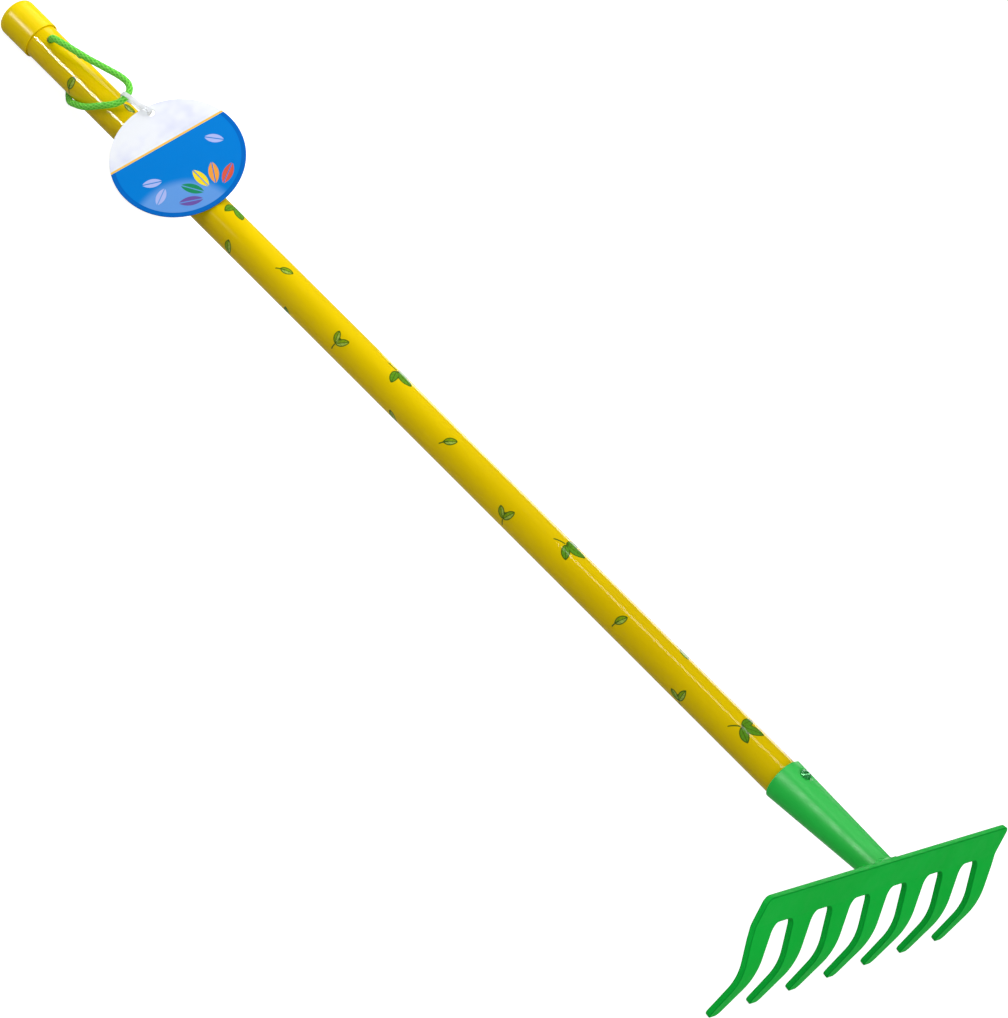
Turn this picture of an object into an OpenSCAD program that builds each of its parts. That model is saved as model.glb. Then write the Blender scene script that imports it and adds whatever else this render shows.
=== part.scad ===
// Sand rake: a sheet steel head with seven bent tines, a rolled socket and a film covered wooden handle.
// It lies tines down on its tips and on the rim of the end cap. +Z is up and the head looks to -Y.

/* [Handle] */
// Outer diameter of the covered handle
handle_d = 22; // [18:0.5:28]
// Handle length in sight, from the cap's rim to the socket's rim
grip_len = 644; // [300:1:900]
// Wall of the printed film
film_t = 0.3; // [0.2:0.05:0.6]
// Gap between pieces that are pushed together
fit_gap = 0.05; // [0.02:0.01:0.2]

/* [End cap] */
// Length of the end cap
cap_len = 26; // [18:0.5:50]
// Side wall of the cap
cap_wall = 1.05; // [0.8:0.05:3]
// Closed end of the cap
cap_end_t = 2.5; // [1:0.1:5]
// Rounding of the closed end
cap_round = 4; // [1:0.5:6]

/* [Socket] */
// Length from the socket's rim to the plate
socket_len = 75.5; // [50:0.5:120]
// Sheet thickness of the socket
socket_wall = 1.2; // [0.8:0.1:2.5]
// Outer diameter at the plate
socket_end_d = 16.8; // [12:0.1:20]
// Height of the socket's end above the handle line
socket_rise = 2.4; // [0:0.1:4]
// Gap around the handle at the socket's mouth
mouth_gap = 0.2; // [0.1:0.05:0.5]
// Open width of the rolled seam
seam_w = 0.6; // [0.3:0.1:1.5]
// Where the seam runs, turned about the handle from +X
seam_angle = 68; // [0:1:359]
// Reach of the weld around the socket's end
weld_r = 1.2; // [0.6:0.1:2]

/* [Screw] */
// Distance of the screw from the socket's rim
screw_in = 10.1; // [8:0.1:20]
// Where the screw sits, turned about the handle from +X
screw_angle = 94; // [0:1:359]
// Diameter of the screw's shank
screw_d = 3; // [2:0.1:4]
// Length of the shank below the head
screw_len = 12; // [8:0.5:16]
// Diameter of the screw's head
screw_head_d = 6.4; // [5:0.1:8]
// Height of the screw's head
screw_head_h = 2.1; // [1.5:0.1:3]

/* [Head] */
// Sheet thickness of the head
plate_t = 3.5; // [2:0.1:5]
// Top edge of the plate above the handle line
plate_top = 12.2; // [10:0.1:20]
// Number of tines
tine_count = 7; // [5:1:11]
// Distance from tine to tine
pitch = 42.2; // [30:0.1:60]
// Tine width at the root
root_w = 19.8; // [12:0.1:24]
// Tine width at the lower bend
mid_w = 14.9; // [8:0.1:20]
// Tine width at the tip
tip_w = 10.6; // [6:0.1:14]
// Rounding of the tip's corners
tip_round = 4.2; // [0.5:0.1:5]
// How much of the tip's rounding is cut flat
tip_flat = 0.5; // [0.1:0.1:2]
// Rounding of the plate's top corners
corner_round = 4.2; // [0.5:0.1:6]
// Top of the gaps below the plate's top edge
slot_drop = 18; // [12:0.1:30]
// Corner rounding at the top of each gap
slot_round = 5.9; // [2:0.1:9]

/* [Bends] */
// Forward lean of the top band
band_lean = 9.5; // [0:0.1:15]
// Forward lean of the tines below the band
root_lean = 21.3; // [5:0.1:30]
// Lean of the tips, below zero towards the user
tip_lean = -6.1; // [-20:0.1:5]
// Straight length of the band above the first bend
band_len = 17; // [1:0.1:25]
// Straight length between the two bends
root_len = 19.3; // [10:0.1:40]
// Straight length of the tip below the second bend
tip_len = 21.5; // [10:0.1:40]
// Radius of the first bend
bend_a = 9; // [6:1:60]
// Radius of the second bend
bend_b = 41; // [10:1:60]

/* [Hang cord] */
// Diameter of the cord
cord_d = 4; // [3:0.1:5]
// Bore of the cross hole
hole_d = 5; // [4:0.1:7]
// Distance of the cross hole from the cap's rim
hole_in = 9.8; // [8:0.1:20]
// Where the hole opens, turned about the handle from +X
hole_angle = 130; // [100:1:150]
// Diameter of the knot
knot_d = 7.6; // [6:0.1:8]

/* [Tag] */
// Diameter of the round tag
tag_d = 80; // [50:1:100]
// Thickness of the tag
tag_t = 0.8; // [0.4:0.1:2]
// Distance of the tag's middle from the cap's rim
tag_in = 124; // [110:0.5:180]
// How far the tag's middle lies up its slope from the handle
tag_rise = 4.6; // [0:0.1:8]
// Where the tag lies, turned about the handle from +X
tag_angle = 137.6; // [120:0.1:150]
// Gap between the tag and the handle
tag_gap = 0.35; // [0.3:0.05:1]
// Bore of the tag's hole
tag_hole_d = 4.6; // [4:0.1:6]
// Distance of the hole's middle from the tag's edge
tag_hole_in = 5; // [4:0.1:8]
// Where the hole lies on the tag, turned from the line along the handle
tag_hole_turn = 13; // [0:0.5:30]
// Width of the strap
strap_w = 2.8; // [2:0.1:3.2]
// Thickness of the strap
strap_t = 0.5; // [0.3:0.05:0.8]
// Gap between the strap and the cord
strap_gap = 0.5; // [0.3:0.05:1]

/* [Hidden] */
$fn = 64;

handle_r = handle_d / 2;
film_r = handle_r - film_t;
dowel_r = film_r - fit_gap;
cap_bore_r = handle_r + fit_gap;
cap_r = cap_bore_r + cap_wall;
film_in_cap = 18;
film_in_socket = 2.5;

mouth_r = handle_r + mouth_gap;
rim_r = mouth_r + socket_wall;
end_r = socket_end_d / 2;
slope_r = (rim_r - end_r) / socket_len;
socket_tilt = asin(socket_rise / socket_len);
dowel_in_socket = socket_len - 8;
weld_run = 3.2;
weld_lip = 0.25;
over = 8;

back_a = grip_len + socket_len;
front_top = [back_a + plate_t * cos(band_lean), plate_top + plate_t * sin(band_lean)];
arc_steps = 6;

// a place along a lean, as [along the handle, up]
function lean_dir(p) = [sin(p), -cos(p)];
function lean_out(p) = [cos(p), sin(p)];
function bend(p, r, from, to) = let (s = to > from ? 1 : -1)
    p + s * r * [cos(from) - cos(to), sin(from) - sin(to)];
bend1_at = front_top + band_len * lean_dir(band_lean);
bend1_end = bend(bend1_at, bend_a, band_lean, root_lean);
bend2_at = bend1_end + root_len * lean_dir(root_lean);
bend2_end = bend(bend2_at, bend_b, root_lean, tip_lean);
tip_front = bend2_end + tip_len * lean_dir(tip_lean);
function part_way(a, b, k) = a + (b - a) * k / arc_steps;
leans1 = [for (k = [0:arc_steps]) part_way(band_lean, root_lean, k)];
leans2 = [for (k = [0:arc_steps]) part_way(root_lean, tip_lean, k)];
leans = concat([band_lean], leans1, leans2, [tip_lean]);
front = concat([front_top],
               [for (p = leans1) bend(bend1_at, bend_a, band_lean, p)],
               [for (p = leans2) bend(bend2_at, bend_b, root_lean, p)],
               [tip_front]);
back = [for (i = [0:len(front) - 1]) front[i] - plate_t * lean_out(leans[i])];
back_up = [for (i = [len(back) - 1:-1:0]) back[i]];

plate_w = (tine_count - 1) * pitch + root_w;
slot_top = plate_top - slot_drop;
slot_low = slot_top - slot_round;
mid_up = bend(bend2_at, bend_b, root_lean, (root_lean + tip_lean) / 2)[1];
tip_up = tip_front[1] - tip_flat;
gap_w = pitch - root_w;
cut_len = 2 * (root_len + tip_len + slot_drop);

// the floor touches the tips and the cap's rounded end
cap_arc = [cap_round - cap_len, cap_round - cap_r];
to_tip = tip_front - cap_arc;
rest_turn = atan2(to_tip[1], to_tip[0]) + asin(cap_round / norm(to_tip));
function placed_y(p) = -p[0] * cos(rest_turn) - p[1] * sin(rest_turn);
function placed_z(p) = -p[0] * sin(rest_turn) + p[1] * cos(rest_turn);
lift = -placed_z(tip_front);
y_head = min([for (p = front) placed_y(p)]);
y_cap = placed_y([cap_round - cap_len, cap_r - cap_round]) + cap_round;
y_mid = (y_head + y_cap) / 2;

// cord route: along from the hole, angle from the hole, part of the handle's radius, distance from that
route = [
    [10.1, 201, 1, 6.1], [5.8, 191.5, 1, 6.7], [2.9, 186, 1, 5.2], [0.7, 181.5, 1, 2], [0, 0, -0.86, 0],
    [0, 0, -0.43, 0], [0, 0, 0, 0], [0, 0, 0.43, 0], [0, 0, 0.86, 0], [1.1, 1.5, 1, 2.7],
    [4, 1.5, 1, 5.6], [8.1, 0, 1, 6.7], [12.7, -4, 1, 6.8], [18, -8, 1, 6.9], [23, -13, 1, 6.8],
    [28, -17, 1, 7], [33, -21.5, 1, 7.5], [38, -26, 1, 8.1], [43, -30.5, 1, 8.7], [48, -34, 1, 9.5],
    [53.4, -35.5, 1, 10.2], [58.7, -33.5, 1, 10.1], [62.6, -26, 1, 8.4], [64.1, -12, 1, 6],
    [63.2, 2, 1, 4.2], [60.3, 19, 1, 3.5], [56.4, 34, 1, 2.8], [52.4, 50, 1, 2.6], [48, 66, 1, 2.6],
    [43.2, 80, 1, 2.6], [38.4, 93, 1, 2.5], [34.4, 108, 1, 2.4], [30.6, 124, 1, 2.4],
    [26.8, 140, 1, 2.4], [22.8, 156, 1, 2.5], [19, 173, 1, 3], [15.6, 190, 1, 3.9],
    [14, 197.5, 1, 4.4]];
knot_at = [12.2, 206, 1, 5];
strap_on = 22;
strap_part = 0.65;
cord_sides = 10;

function unit(v) = v / norm(v);
function cord_pt(e) = let (r = e[2] * handle_r + e[3], b = hole_angle + e[1])
    [r * cos(b), -hole_in - e[0], r * sin(b)];
line = [for (e = route) cord_pt(e)];
last = len(line) - 1;
tang = [for (i = [0:last]) unit(line[min(i + 1, last)] - line[max(i - 1, 0)])];
function across(u, t) = unit(u - (u * t) * t);
function carry(i, u) = i > last ? [] : let (v = across(u, tang[i])) concat([v], carry(i + 1, v));
side = carry(0, [0.3, 0.2, 1]);
cord_r = cord_d / 2;
function ring_pt(i, t) = line[i] + cord_r * (cos(t) * side[i] + sin(t) * cross(tang[i], side[i]));
ring_pts = [for (i = [0:last], k = [0:cord_sides - 1]) ring_pt(i, 360 * k / cord_sides)];
ring_faces = concat(
    [[for (k = [0:cord_sides - 1]) k]],
    [for (i = [0:last - 1], k = [0:cord_sides - 1]) let (m = (k + 1) % cord_sides, n = i * cord_sides)
        [n + k, n + cord_sides + k, n + cord_sides + m, n + m]],
    [[for (k = [cord_sides - 1:-1:0]) last * cord_sides + k]]);

// the tag's own axes: along the handle, up the slope, out of the face
tag_e = [0, -1, 0];
tag_u = [sin(tag_angle), 0, -cos(tag_angle)];
tag_n = [cos(tag_angle), 0, sin(tag_angle)];
tag_mid = (handle_r + tag_gap + tag_t / 2) * tag_n + tag_rise * tag_u + tag_in * tag_e;
tag_hole_r = tag_d / 2 - tag_hole_in;
tag_hole = tag_mid + tag_hole_r * (sin(tag_hole_turn) * tag_u - cos(tag_hole_turn) * tag_e);

// the strap's own axes: towards the tag's hole, along the cord, out of its loop
strap_mid = line[strap_on] + (line[strap_on + 1] - line[strap_on]) * strap_part;
strap_x = unit(tag_hole - strap_mid);
strap_y = across(line[strap_on + 1] - line[strap_on], strap_x);
strap_z = cross(strap_x, strap_y);
strap_in_r = cord_r + strap_gap;
strap_reach = (tag_hole - strap_mid) * strap_x - strap_in_r - strap_t / 2;

module place() {
    translate([0, -y_mid, lift])
        rotate([rest_turn, 0, 0])
            children();
}

// along the handle towards the head, starting at the distance a from the cap's rim
module on_handle(a) {
    translate([0, -a, 0])
        rotate([90, 0, 0])
            children();
}

module in_socket() {
    translate([0, -grip_len, 0])
        rotate([90 - socket_tilt, 0, 0])
            children();
}

module axes(at, x, y, z) {
    rows = [for (k = [0:2]) [x[k], y[k], z[k], at[k]]];
    multmatrix(concat(rows, [[0, 0, 0, 1]]))
        children();
}

module cross_hole() {
    on_handle(hole_in)
        rotate([0, 0, hole_angle])
            rotate([0, 90, 0])
                cylinder(d = hole_d, h = 2 * handle_r + 4, center = true);
}

// everything ahead of the plate's back face
module ahead() {
    far = back_a + 60;
    pts = concat([[far, 40], [back[0][0], 40]], back, [[far, tip_up - 5]]);
    rotate([90, 0, -90])
        linear_extrude(height = 80, center = true)
            polygon(pts);
}

module at_screw() {
    in_socket()
        translate([0, 0, screw_in])
            rotate([0, 0, screw_angle])
                rotate([0, 90, 0])
                    children();
}

seat_r = rim_r - slope_r * screw_in - 0.45;

module handle_dowel() {
    color("#d9b98a")
    place()
    difference() {
        union() {
            on_handle(cap_end_t + fit_gap - cap_len)
                cylinder(r = dowel_r, h = cap_len - cap_end_t - fit_gap + grip_len + film_in_socket);
            in_socket()
                translate([0, 0, film_in_socket - 0.5])
                    cylinder(r1 = dowel_r - 0.1,
                             r2 = mouth_r - slope_r * dowel_in_socket - 2 * fit_gap,
                             h = dowel_in_socket - film_in_socket + 0.5);
        }
        cross_hole();
        at_screw()
            translate([0, 0, seat_r - screw_len - 1])
                cylinder(d = screw_d + 2 * fit_gap, h = screw_len + 4);
    }
}

module handle_film() {
    color("#f2d200")
    place()
    difference() {
        on_handle(-film_in_cap)
            cylinder(r = handle_r, h = film_in_cap + grip_len + film_in_socket);
        on_handle(-film_in_cap - 1)
            cylinder(r = film_r, h = film_in_cap + grip_len + film_in_socket + 2);
        cross_hole();
    }
}

module end_cap() {
    color("#f7da00")
    place()
    difference() {
        union() {
            on_handle(cap_round - cap_len)
                cylinder(r = cap_r, h = cap_len - cap_round);
            on_handle(-cap_len)
                cylinder(r = cap_r - cap_round, h = cap_round + 1);
            on_handle(cap_round - cap_len)
                rotate_extrude()
                    translate([cap_r - cap_round, 0])
                        circle(r = cap_round);
        }
        on_handle(cap_end_t - cap_len)
            cylinder(r = cap_bore_r, h = cap_len);
    }
}

module socket() {
    color("#3fae55")
    place()
    difference() {
        in_socket()
            cylinder(r1 = rim_r, r2 = rim_r - slope_r * (socket_len + over), h = socket_len + over);
        in_socket()
            translate([0, 0, -1])
                cylinder(r1 = mouth_r + slope_r, r2 = mouth_r - slope_r * (socket_len + over + 1),
                         h = socket_len + over + 2);
        in_socket()
            rotate([0, 0, seam_angle])
                translate([0, -seam_w / 2, -1])
                    cube([rim_r + 5, seam_w, socket_len + over + 2]);
        at_screw()
            translate([0, 0, seat_r])
                cylinder(d = screw_head_d + 0.4, h = 5);
        at_screw()
            translate([0, 0, seat_r - 4])
                cylinder(d = screw_d + 0.4, h = 6);
        ahead();
    }
}

module weld_bead() {
    color("#37a34c")
    place()
    difference() {
        in_socket()
            translate([0, 0, socket_len])
                rotate_extrude()
                    polygon([[0, -weld_run],
                             [end_r + slope_r * weld_run + weld_lip, -weld_run],
                             [end_r + weld_r, -weld_r],
                             [end_r + weld_r, over],
                             [0, over]]);
        in_socket()
            translate([0, 0, socket_len - weld_run - 1])
                cylinder(r1 = end_r + slope_r * (weld_run + 1) + fit_gap,
                         r2 = end_r - slope_r * (over + 1) + fit_gap,
                         h = weld_run + over + 2);
        ahead();
    }
}

// half outline of one tine, as [across, up]
tip_mid = [tip_w / 2 - tip_round, tip_up + tip_round];
tine_side = [[root_w / 2, slot_top + 1],
             [root_w / 2, slot_low],
             [mid_w / 2, mid_up],
             [tip_w / 2, tip_mid[1]]];
half_tine = concat(tine_side,
                   [for (k = [1:4]) tip_mid + tip_round * [cos(22.5 * k), -sin(22.5 * k)]]);
whole_tine = concat(half_tine, [for (i = [len(half_tine) - 1:-1:0]) [-half_tine[i][0], half_tine[i][1]]]);

corner_mid = [plate_w / 2 - corner_round, front_top[1] + fit_gap - corner_round];
half_band = concat([[plate_w / 2, slot_low]],
                   [for (k = [0:4]) corner_mid + corner_round * [cos(22.5 * k), sin(22.5 * k)]]);
whole_band = concat(half_band, [for (i = [len(half_band) - 1:-1:0]) [-half_band[i][0], half_band[i][1]]]);

module through() {
    rotate([90, 0, 0])
        translate([0, 0, back_a])
            linear_extrude(height = cut_len, center = true)
                children();
}

module gap_top(x) {
    reach = gap_w / 2 - slot_round;
    for (s = [-1, 1])
        translate([x + s * reach, -back_a, slot_low])
            rotate([90, 0, 0])
                cylinder(r = slot_round, h = cut_len, center = true);
    translate([x - reach, -back_a - cut_len / 2, slot_low - slot_round])
        cube([2 * reach, cut_len, 2 * slot_round]);
}

module rake_plate() {
    color("#22a844")
    place()
    intersection() {
        rotate([90, 0, -90])
            linear_extrude(height = 2 * plate_w, center = true)
                polygon(concat(front, back_up));
        difference() {
            union() {
                through()
                    polygon(whole_band);
                for (i = [0:tine_count - 1])
                    translate([(i - (tine_count - 1) / 2) * pitch, 0, 0])
                        through()
                            polygon(whole_tine);
            }
            for (i = [0:tine_count - 2])
                gap_top((i - (tine_count - 2) / 2) * pitch);
        }
    }
}

module socket_screw() {
    color("#1c7a38")
    place()
    at_screw()
    difference() {
        union() {
            translate([0, 0, seat_r])
                cylinder(d = screw_head_d, h = screw_head_h * 0.45);
            translate([0, 0, seat_r + screw_head_h * 0.45])
                cylinder(d1 = screw_head_d, d2 = screw_head_d * 0.55, h = screw_head_h * 0.55);
            translate([0, 0, seat_r - screw_len + 3])
                cylinder(d = screw_d, h = screw_len - 2.5);
            translate([0, 0, seat_r - screw_len])
                cylinder(d1 = 0.5, d2 = screw_d, h = 3);
        }
        for (t = [0, 90])
            rotate([0, 0, t])
                translate([-1.8, -0.4, seat_r + screw_head_h - 1.2])
                    cube([3.6, 0.8, 2]);
    }
}

module cord_loop() {
    color("#4fc846")
    place()
    union() {
        polyhedron(points = ring_pts, faces = ring_faces, convexity = 8);
        translate(cord_pt(knot_at))
            sphere(d = knot_d, $fn = 20);
    }
}

module tag_strap() {
    color("#dfe6ea")
    place()
    axes(strap_mid, strap_x, strap_y, strap_z)
    difference() {
        union() {
            for (x = [0, strap_reach])
                translate([x, 0, 0])
                    rotate([90, 0, 0])
                        cylinder(r = strap_in_r + strap_t, h = strap_w, center = true);
            translate([0, -strap_w / 2, -strap_in_r - strap_t])
                cube([strap_reach, strap_w, 2 * (strap_in_r + strap_t)]);
        }
        for (x = [0, strap_reach])
            translate([x, 0, 0])
                rotate([90, 0, 0])
                    cylinder(r = strap_in_r, h = strap_w + 2, center = true);
        translate([0, -strap_w / 2 - 1, -strap_in_r])
            cube([strap_reach, strap_w + 2, 2 * strap_in_r]);
    }
}

module tag_disc() {
    color("#e9edf7")
    place()
    difference() {
        axes(tag_mid, tag_e, tag_u, tag_n)
            cylinder(d = tag_d, h = tag_t, center = true);
        axes(tag_hole, tag_e, tag_u, tag_n)
            cylinder(d = tag_hole_d, h = tag_t + 2, center = true);
    }
}

handle_dowel();
handle_film();
end_cap();
socket();
weld_bead();
rake_plate();
socket_screw();
cord_loop();
tag_strap();
tag_disc();
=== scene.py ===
"""Sand rake: bent sheet steel head, rolled socket and film covered handle with cap, hang cord and round tag.

Sizes are millimetres in the tool's own frame: X across the head, Y along the handle towards the cap, Z up
from the handle's line, with 0 at the cap's rim. Rest.place() lays such points on the floor, in metres.
"""
import logging
import math
from dataclasses import dataclass, field
from enum import Enum
from typing import ClassVar, Sequence, Union

import bmesh
import bpy
import numpy as np
from mathutils import Matrix


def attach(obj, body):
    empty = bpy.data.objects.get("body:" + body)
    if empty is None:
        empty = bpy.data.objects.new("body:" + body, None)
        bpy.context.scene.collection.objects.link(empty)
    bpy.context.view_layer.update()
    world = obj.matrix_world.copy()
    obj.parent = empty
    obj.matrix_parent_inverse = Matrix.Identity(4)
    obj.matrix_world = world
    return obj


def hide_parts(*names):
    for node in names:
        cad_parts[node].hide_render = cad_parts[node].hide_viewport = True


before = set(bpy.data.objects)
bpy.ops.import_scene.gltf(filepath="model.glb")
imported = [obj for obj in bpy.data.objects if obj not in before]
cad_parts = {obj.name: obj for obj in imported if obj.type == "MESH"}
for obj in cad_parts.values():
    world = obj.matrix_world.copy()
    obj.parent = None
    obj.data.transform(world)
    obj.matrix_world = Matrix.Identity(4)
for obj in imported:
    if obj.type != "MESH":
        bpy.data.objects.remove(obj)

Array = np.ndarray
Piece = bpy.types.Object
NodeSocket = bpy.types.NodeSocket
Rgba = tuple[float, float, float, float]
Feed = Union[float, Sequence[float], NodeSocket]

MM = 0.001
PICTURE_WIDTH = 1008
SENSOR = 36.0
ROOT = "rake"
HANDLE_R = 11.0
GRIP_LEN = 644.0
CORD_D = 4.0
CORD_HOLE_IN = 9.8
CORD_HOLE_ANGLE = 130.0
TO_HEAD = np.array([0.0, -1.0, 0.0])
WHITE: Rgba = (1.0, 1.0, 1.0, 1.0)
FAR_OFF = 9.0

log = logging.getLogger("sand_rake")


def tone(red: int, green: int, blue: int) -> Rgba:
    """Turns a display colour into the linear one that shaders take.

    Args:
        red, green, blue: the colour in steps of 0 to 255.

    Returns:
        The linear colour with alpha 1.
    """
    v = np.array([red, green, blue]) / 255.0
    low = v / 12.92
    high = ((v + 0.055) / 1.055) ** 2.4
    return (*np.where(v <= 0.04045, low, high).tolist(), 1.0)


def unit(v: Array) -> Array:
    """Gives vectors the length 1."""
    return v / np.linalg.norm(v, axis=-1, keepdims=True)


def ease(x: Array, lo: float, hi: float) -> Array:
    """Smooth step from 0 at lo to 1 at hi: t squared times 3 less 2 t."""
    t = np.clip((x - lo) / (hi - lo), 0.0, 1.0)
    return t * t * (3.0 - 2.0 * t)


def once_round(count: int) -> Array:
    """Evenly spaced angles once round from 0, the end left out."""
    return np.linspace(0.0, 2 * np.pi, count, endpoint=False)


def xyz(x: Array, y: Array, z: Array) -> Array:
    """Joins three arrays of coordinates into one of points."""
    return np.stack(np.broadcast_arrays(x, y, z), axis=-1)


def line_length(line: Array) -> float:
    """Length of a line of points."""
    return float(np.linalg.norm(np.diff(line, axis=0), axis=1).sum())


def put(name: str, data: bpy.types.ID) -> Piece:
    """Makes an object of some data and puts it in the scene.

    Args:
        name: the object's name.
        data: its mesh, lamp or camera.

    Returns:
        The object.
    """
    made = bpy.data.objects.new(name, data)
    bpy.context.scene.collection.objects.link(made)
    return made


@dataclass(frozen=True)
class Rest:
    """How the tool lies on the floor: turned about X until tips and cap touch it, then shifted."""

    turn: float = math.radians(-3.9577924)
    shift: float = 355.267622
    lift: float = 13.599158

    def place(self, pts: Array) -> Array:
        """Moves points from the tool's frame to the floor's.

        Args:
            pts: points in millimetres, the last axis being X, Y, Z.

        Returns:
            The points in metres.
        """
        c, s = math.cos(self.turn), math.sin(self.turn)
        x, y, z = np.moveaxis(np.asarray(pts, dtype=float), -1, 0)
        return MM * xyz(x, c * y - s * z + self.shift, s * y + c * z + self.lift)


REST = Rest()


@dataclass
class Shell:
    """Points and faces on their way to becoming one piece."""

    points: list[Array] = field(default_factory=list)
    faces: list[Array] = field(default_factory=list)
    count: int = 0

    def add(self, pts: Array) -> Array:
        """Adds points without faces.

        Args:
            pts: a grid of points.

        Returns:
            Their numbers, in the grid's shape.
        """
        flat = pts.reshape(-1, 3)
        numbers = np.arange(self.count, self.count + len(flat)).reshape(pts.shape[:-1])
        self.points.append(flat)
        self.count += len(flat)
        return numbers

    def join(self, numbers: Array, wrap: bool = False) -> None:
        """Adds the quads between neighbours in a grid of point numbers; wrap joins the last column to the first."""
        n = np.column_stack([numbers, numbers[:, 0]]) if wrap else numbers
        self.faces.append(np.stack([n[:-1, :-1], n[:-1, 1:], n[1:, 1:], n[1:, :-1]], axis=-1).reshape(-1, 4))

    def grid(self, pts: Array, wrap: bool = False) -> Array:
        """Adds a grid of points with its quads.

        Args:
            pts: the grid.
            wrap: joins the last column to the first.

        Returns:
            The points' numbers.
        """
        numbers = self.add(pts)
        self.join(numbers, wrap)
        return numbers

    def band(self, first: Array, second: Array) -> None:
        """Joins two closed loops of points by quads."""
        self.join(np.stack([first, second]), wrap=True)

    def fan(self, loop: Array, middle: Array) -> None:
        """Closes a loop with triangles round one middle point."""
        tip = np.full(len(loop), int(self.add(middle.reshape(1, 3))[0]))
        self.faces.append(np.stack([loop, np.roll(loop, -1), tip], axis=-1))

    def rod(self, pts: Array, first: Array, last: Array) -> None:
        """Adds a grid that closes round, with a fan to a middle point at each end.

        Args:
            pts: the grid.
            first, last: the middle points of its ends.
        """
        numbers = self.grid(pts, wrap=True)
        self.fan(numbers[0], first)
        self.fan(numbers[-1], last)

    def ring(self, pts: Array) -> None:
        """Adds a grid that closes on itself both ways."""
        numbers = self.grid(pts, wrap=True)
        self.band(numbers[-1], numbers[0])

    def piece(self, name: str, merge: float = 0.0, **values: Array) -> Piece:
        """Makes the mesh object, smooth and with its faces outwards.

        Args:
            name: the piece's name.
            merge: points nearer than this, in millimetres, become one.
            **values: a number for each point, kept as a point attribute of that name.

        Returns:
            The object, at the origin, with its place in its mesh.
        """
        mesh = bpy.data.meshes.new(name)
        mesh.from_pydata(REST.place(np.concatenate(self.points)).tolist(), [],
                         [f for part in self.faces for f in part.tolist()])
        for key, numbers in values.items():
            mesh.attributes.new(key, "FLOAT", "POINT").data.foreach_set("value", numbers.astype(np.float32))
        work = bmesh.new()
        work.from_mesh(mesh)
        if merge:
            bmesh.ops.remove_doubles(work, verts=work.verts, dist=merge * MM)
        bmesh.ops.recalc_face_normals(work, faces=work.faces)
        work.to_mesh(mesh)
        work.free()
        mesh.shade_smooth()
        return put(name, mesh)


def dress(piece: Piece, finish: "Finish", body: str, replaced: str = "") -> Piece:
    """Gives a piece its finish and its body, and hides the node that it stands for.

    Args:
        piece: the object.
        finish: what it is finished in.
        body: the body that it moves with.
        replaced: the node that it stands for, if any.

    Returns:
        The same object.
    """
    piece.data.materials.append(finish.material())
    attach(piece, body)
    if replaced:
        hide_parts(replaced)
    log.info("%s: %d faces on %s", piece.name, len(piece.data.polygons), body)
    return piece


def keep_flats(piece: Piece) -> Piece:
    """Lets large faces rule the shading, so that flats beside a rounded edge look flat.

    Args:
        piece: the piece.

    Returns:
        The same piece.
    """
    mod = piece.modifiers.new("flats", "WEIGHTED_NORMAL")
    mod.mode = "FACE_AREA"
    mod.weight = 80
    return piece


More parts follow.
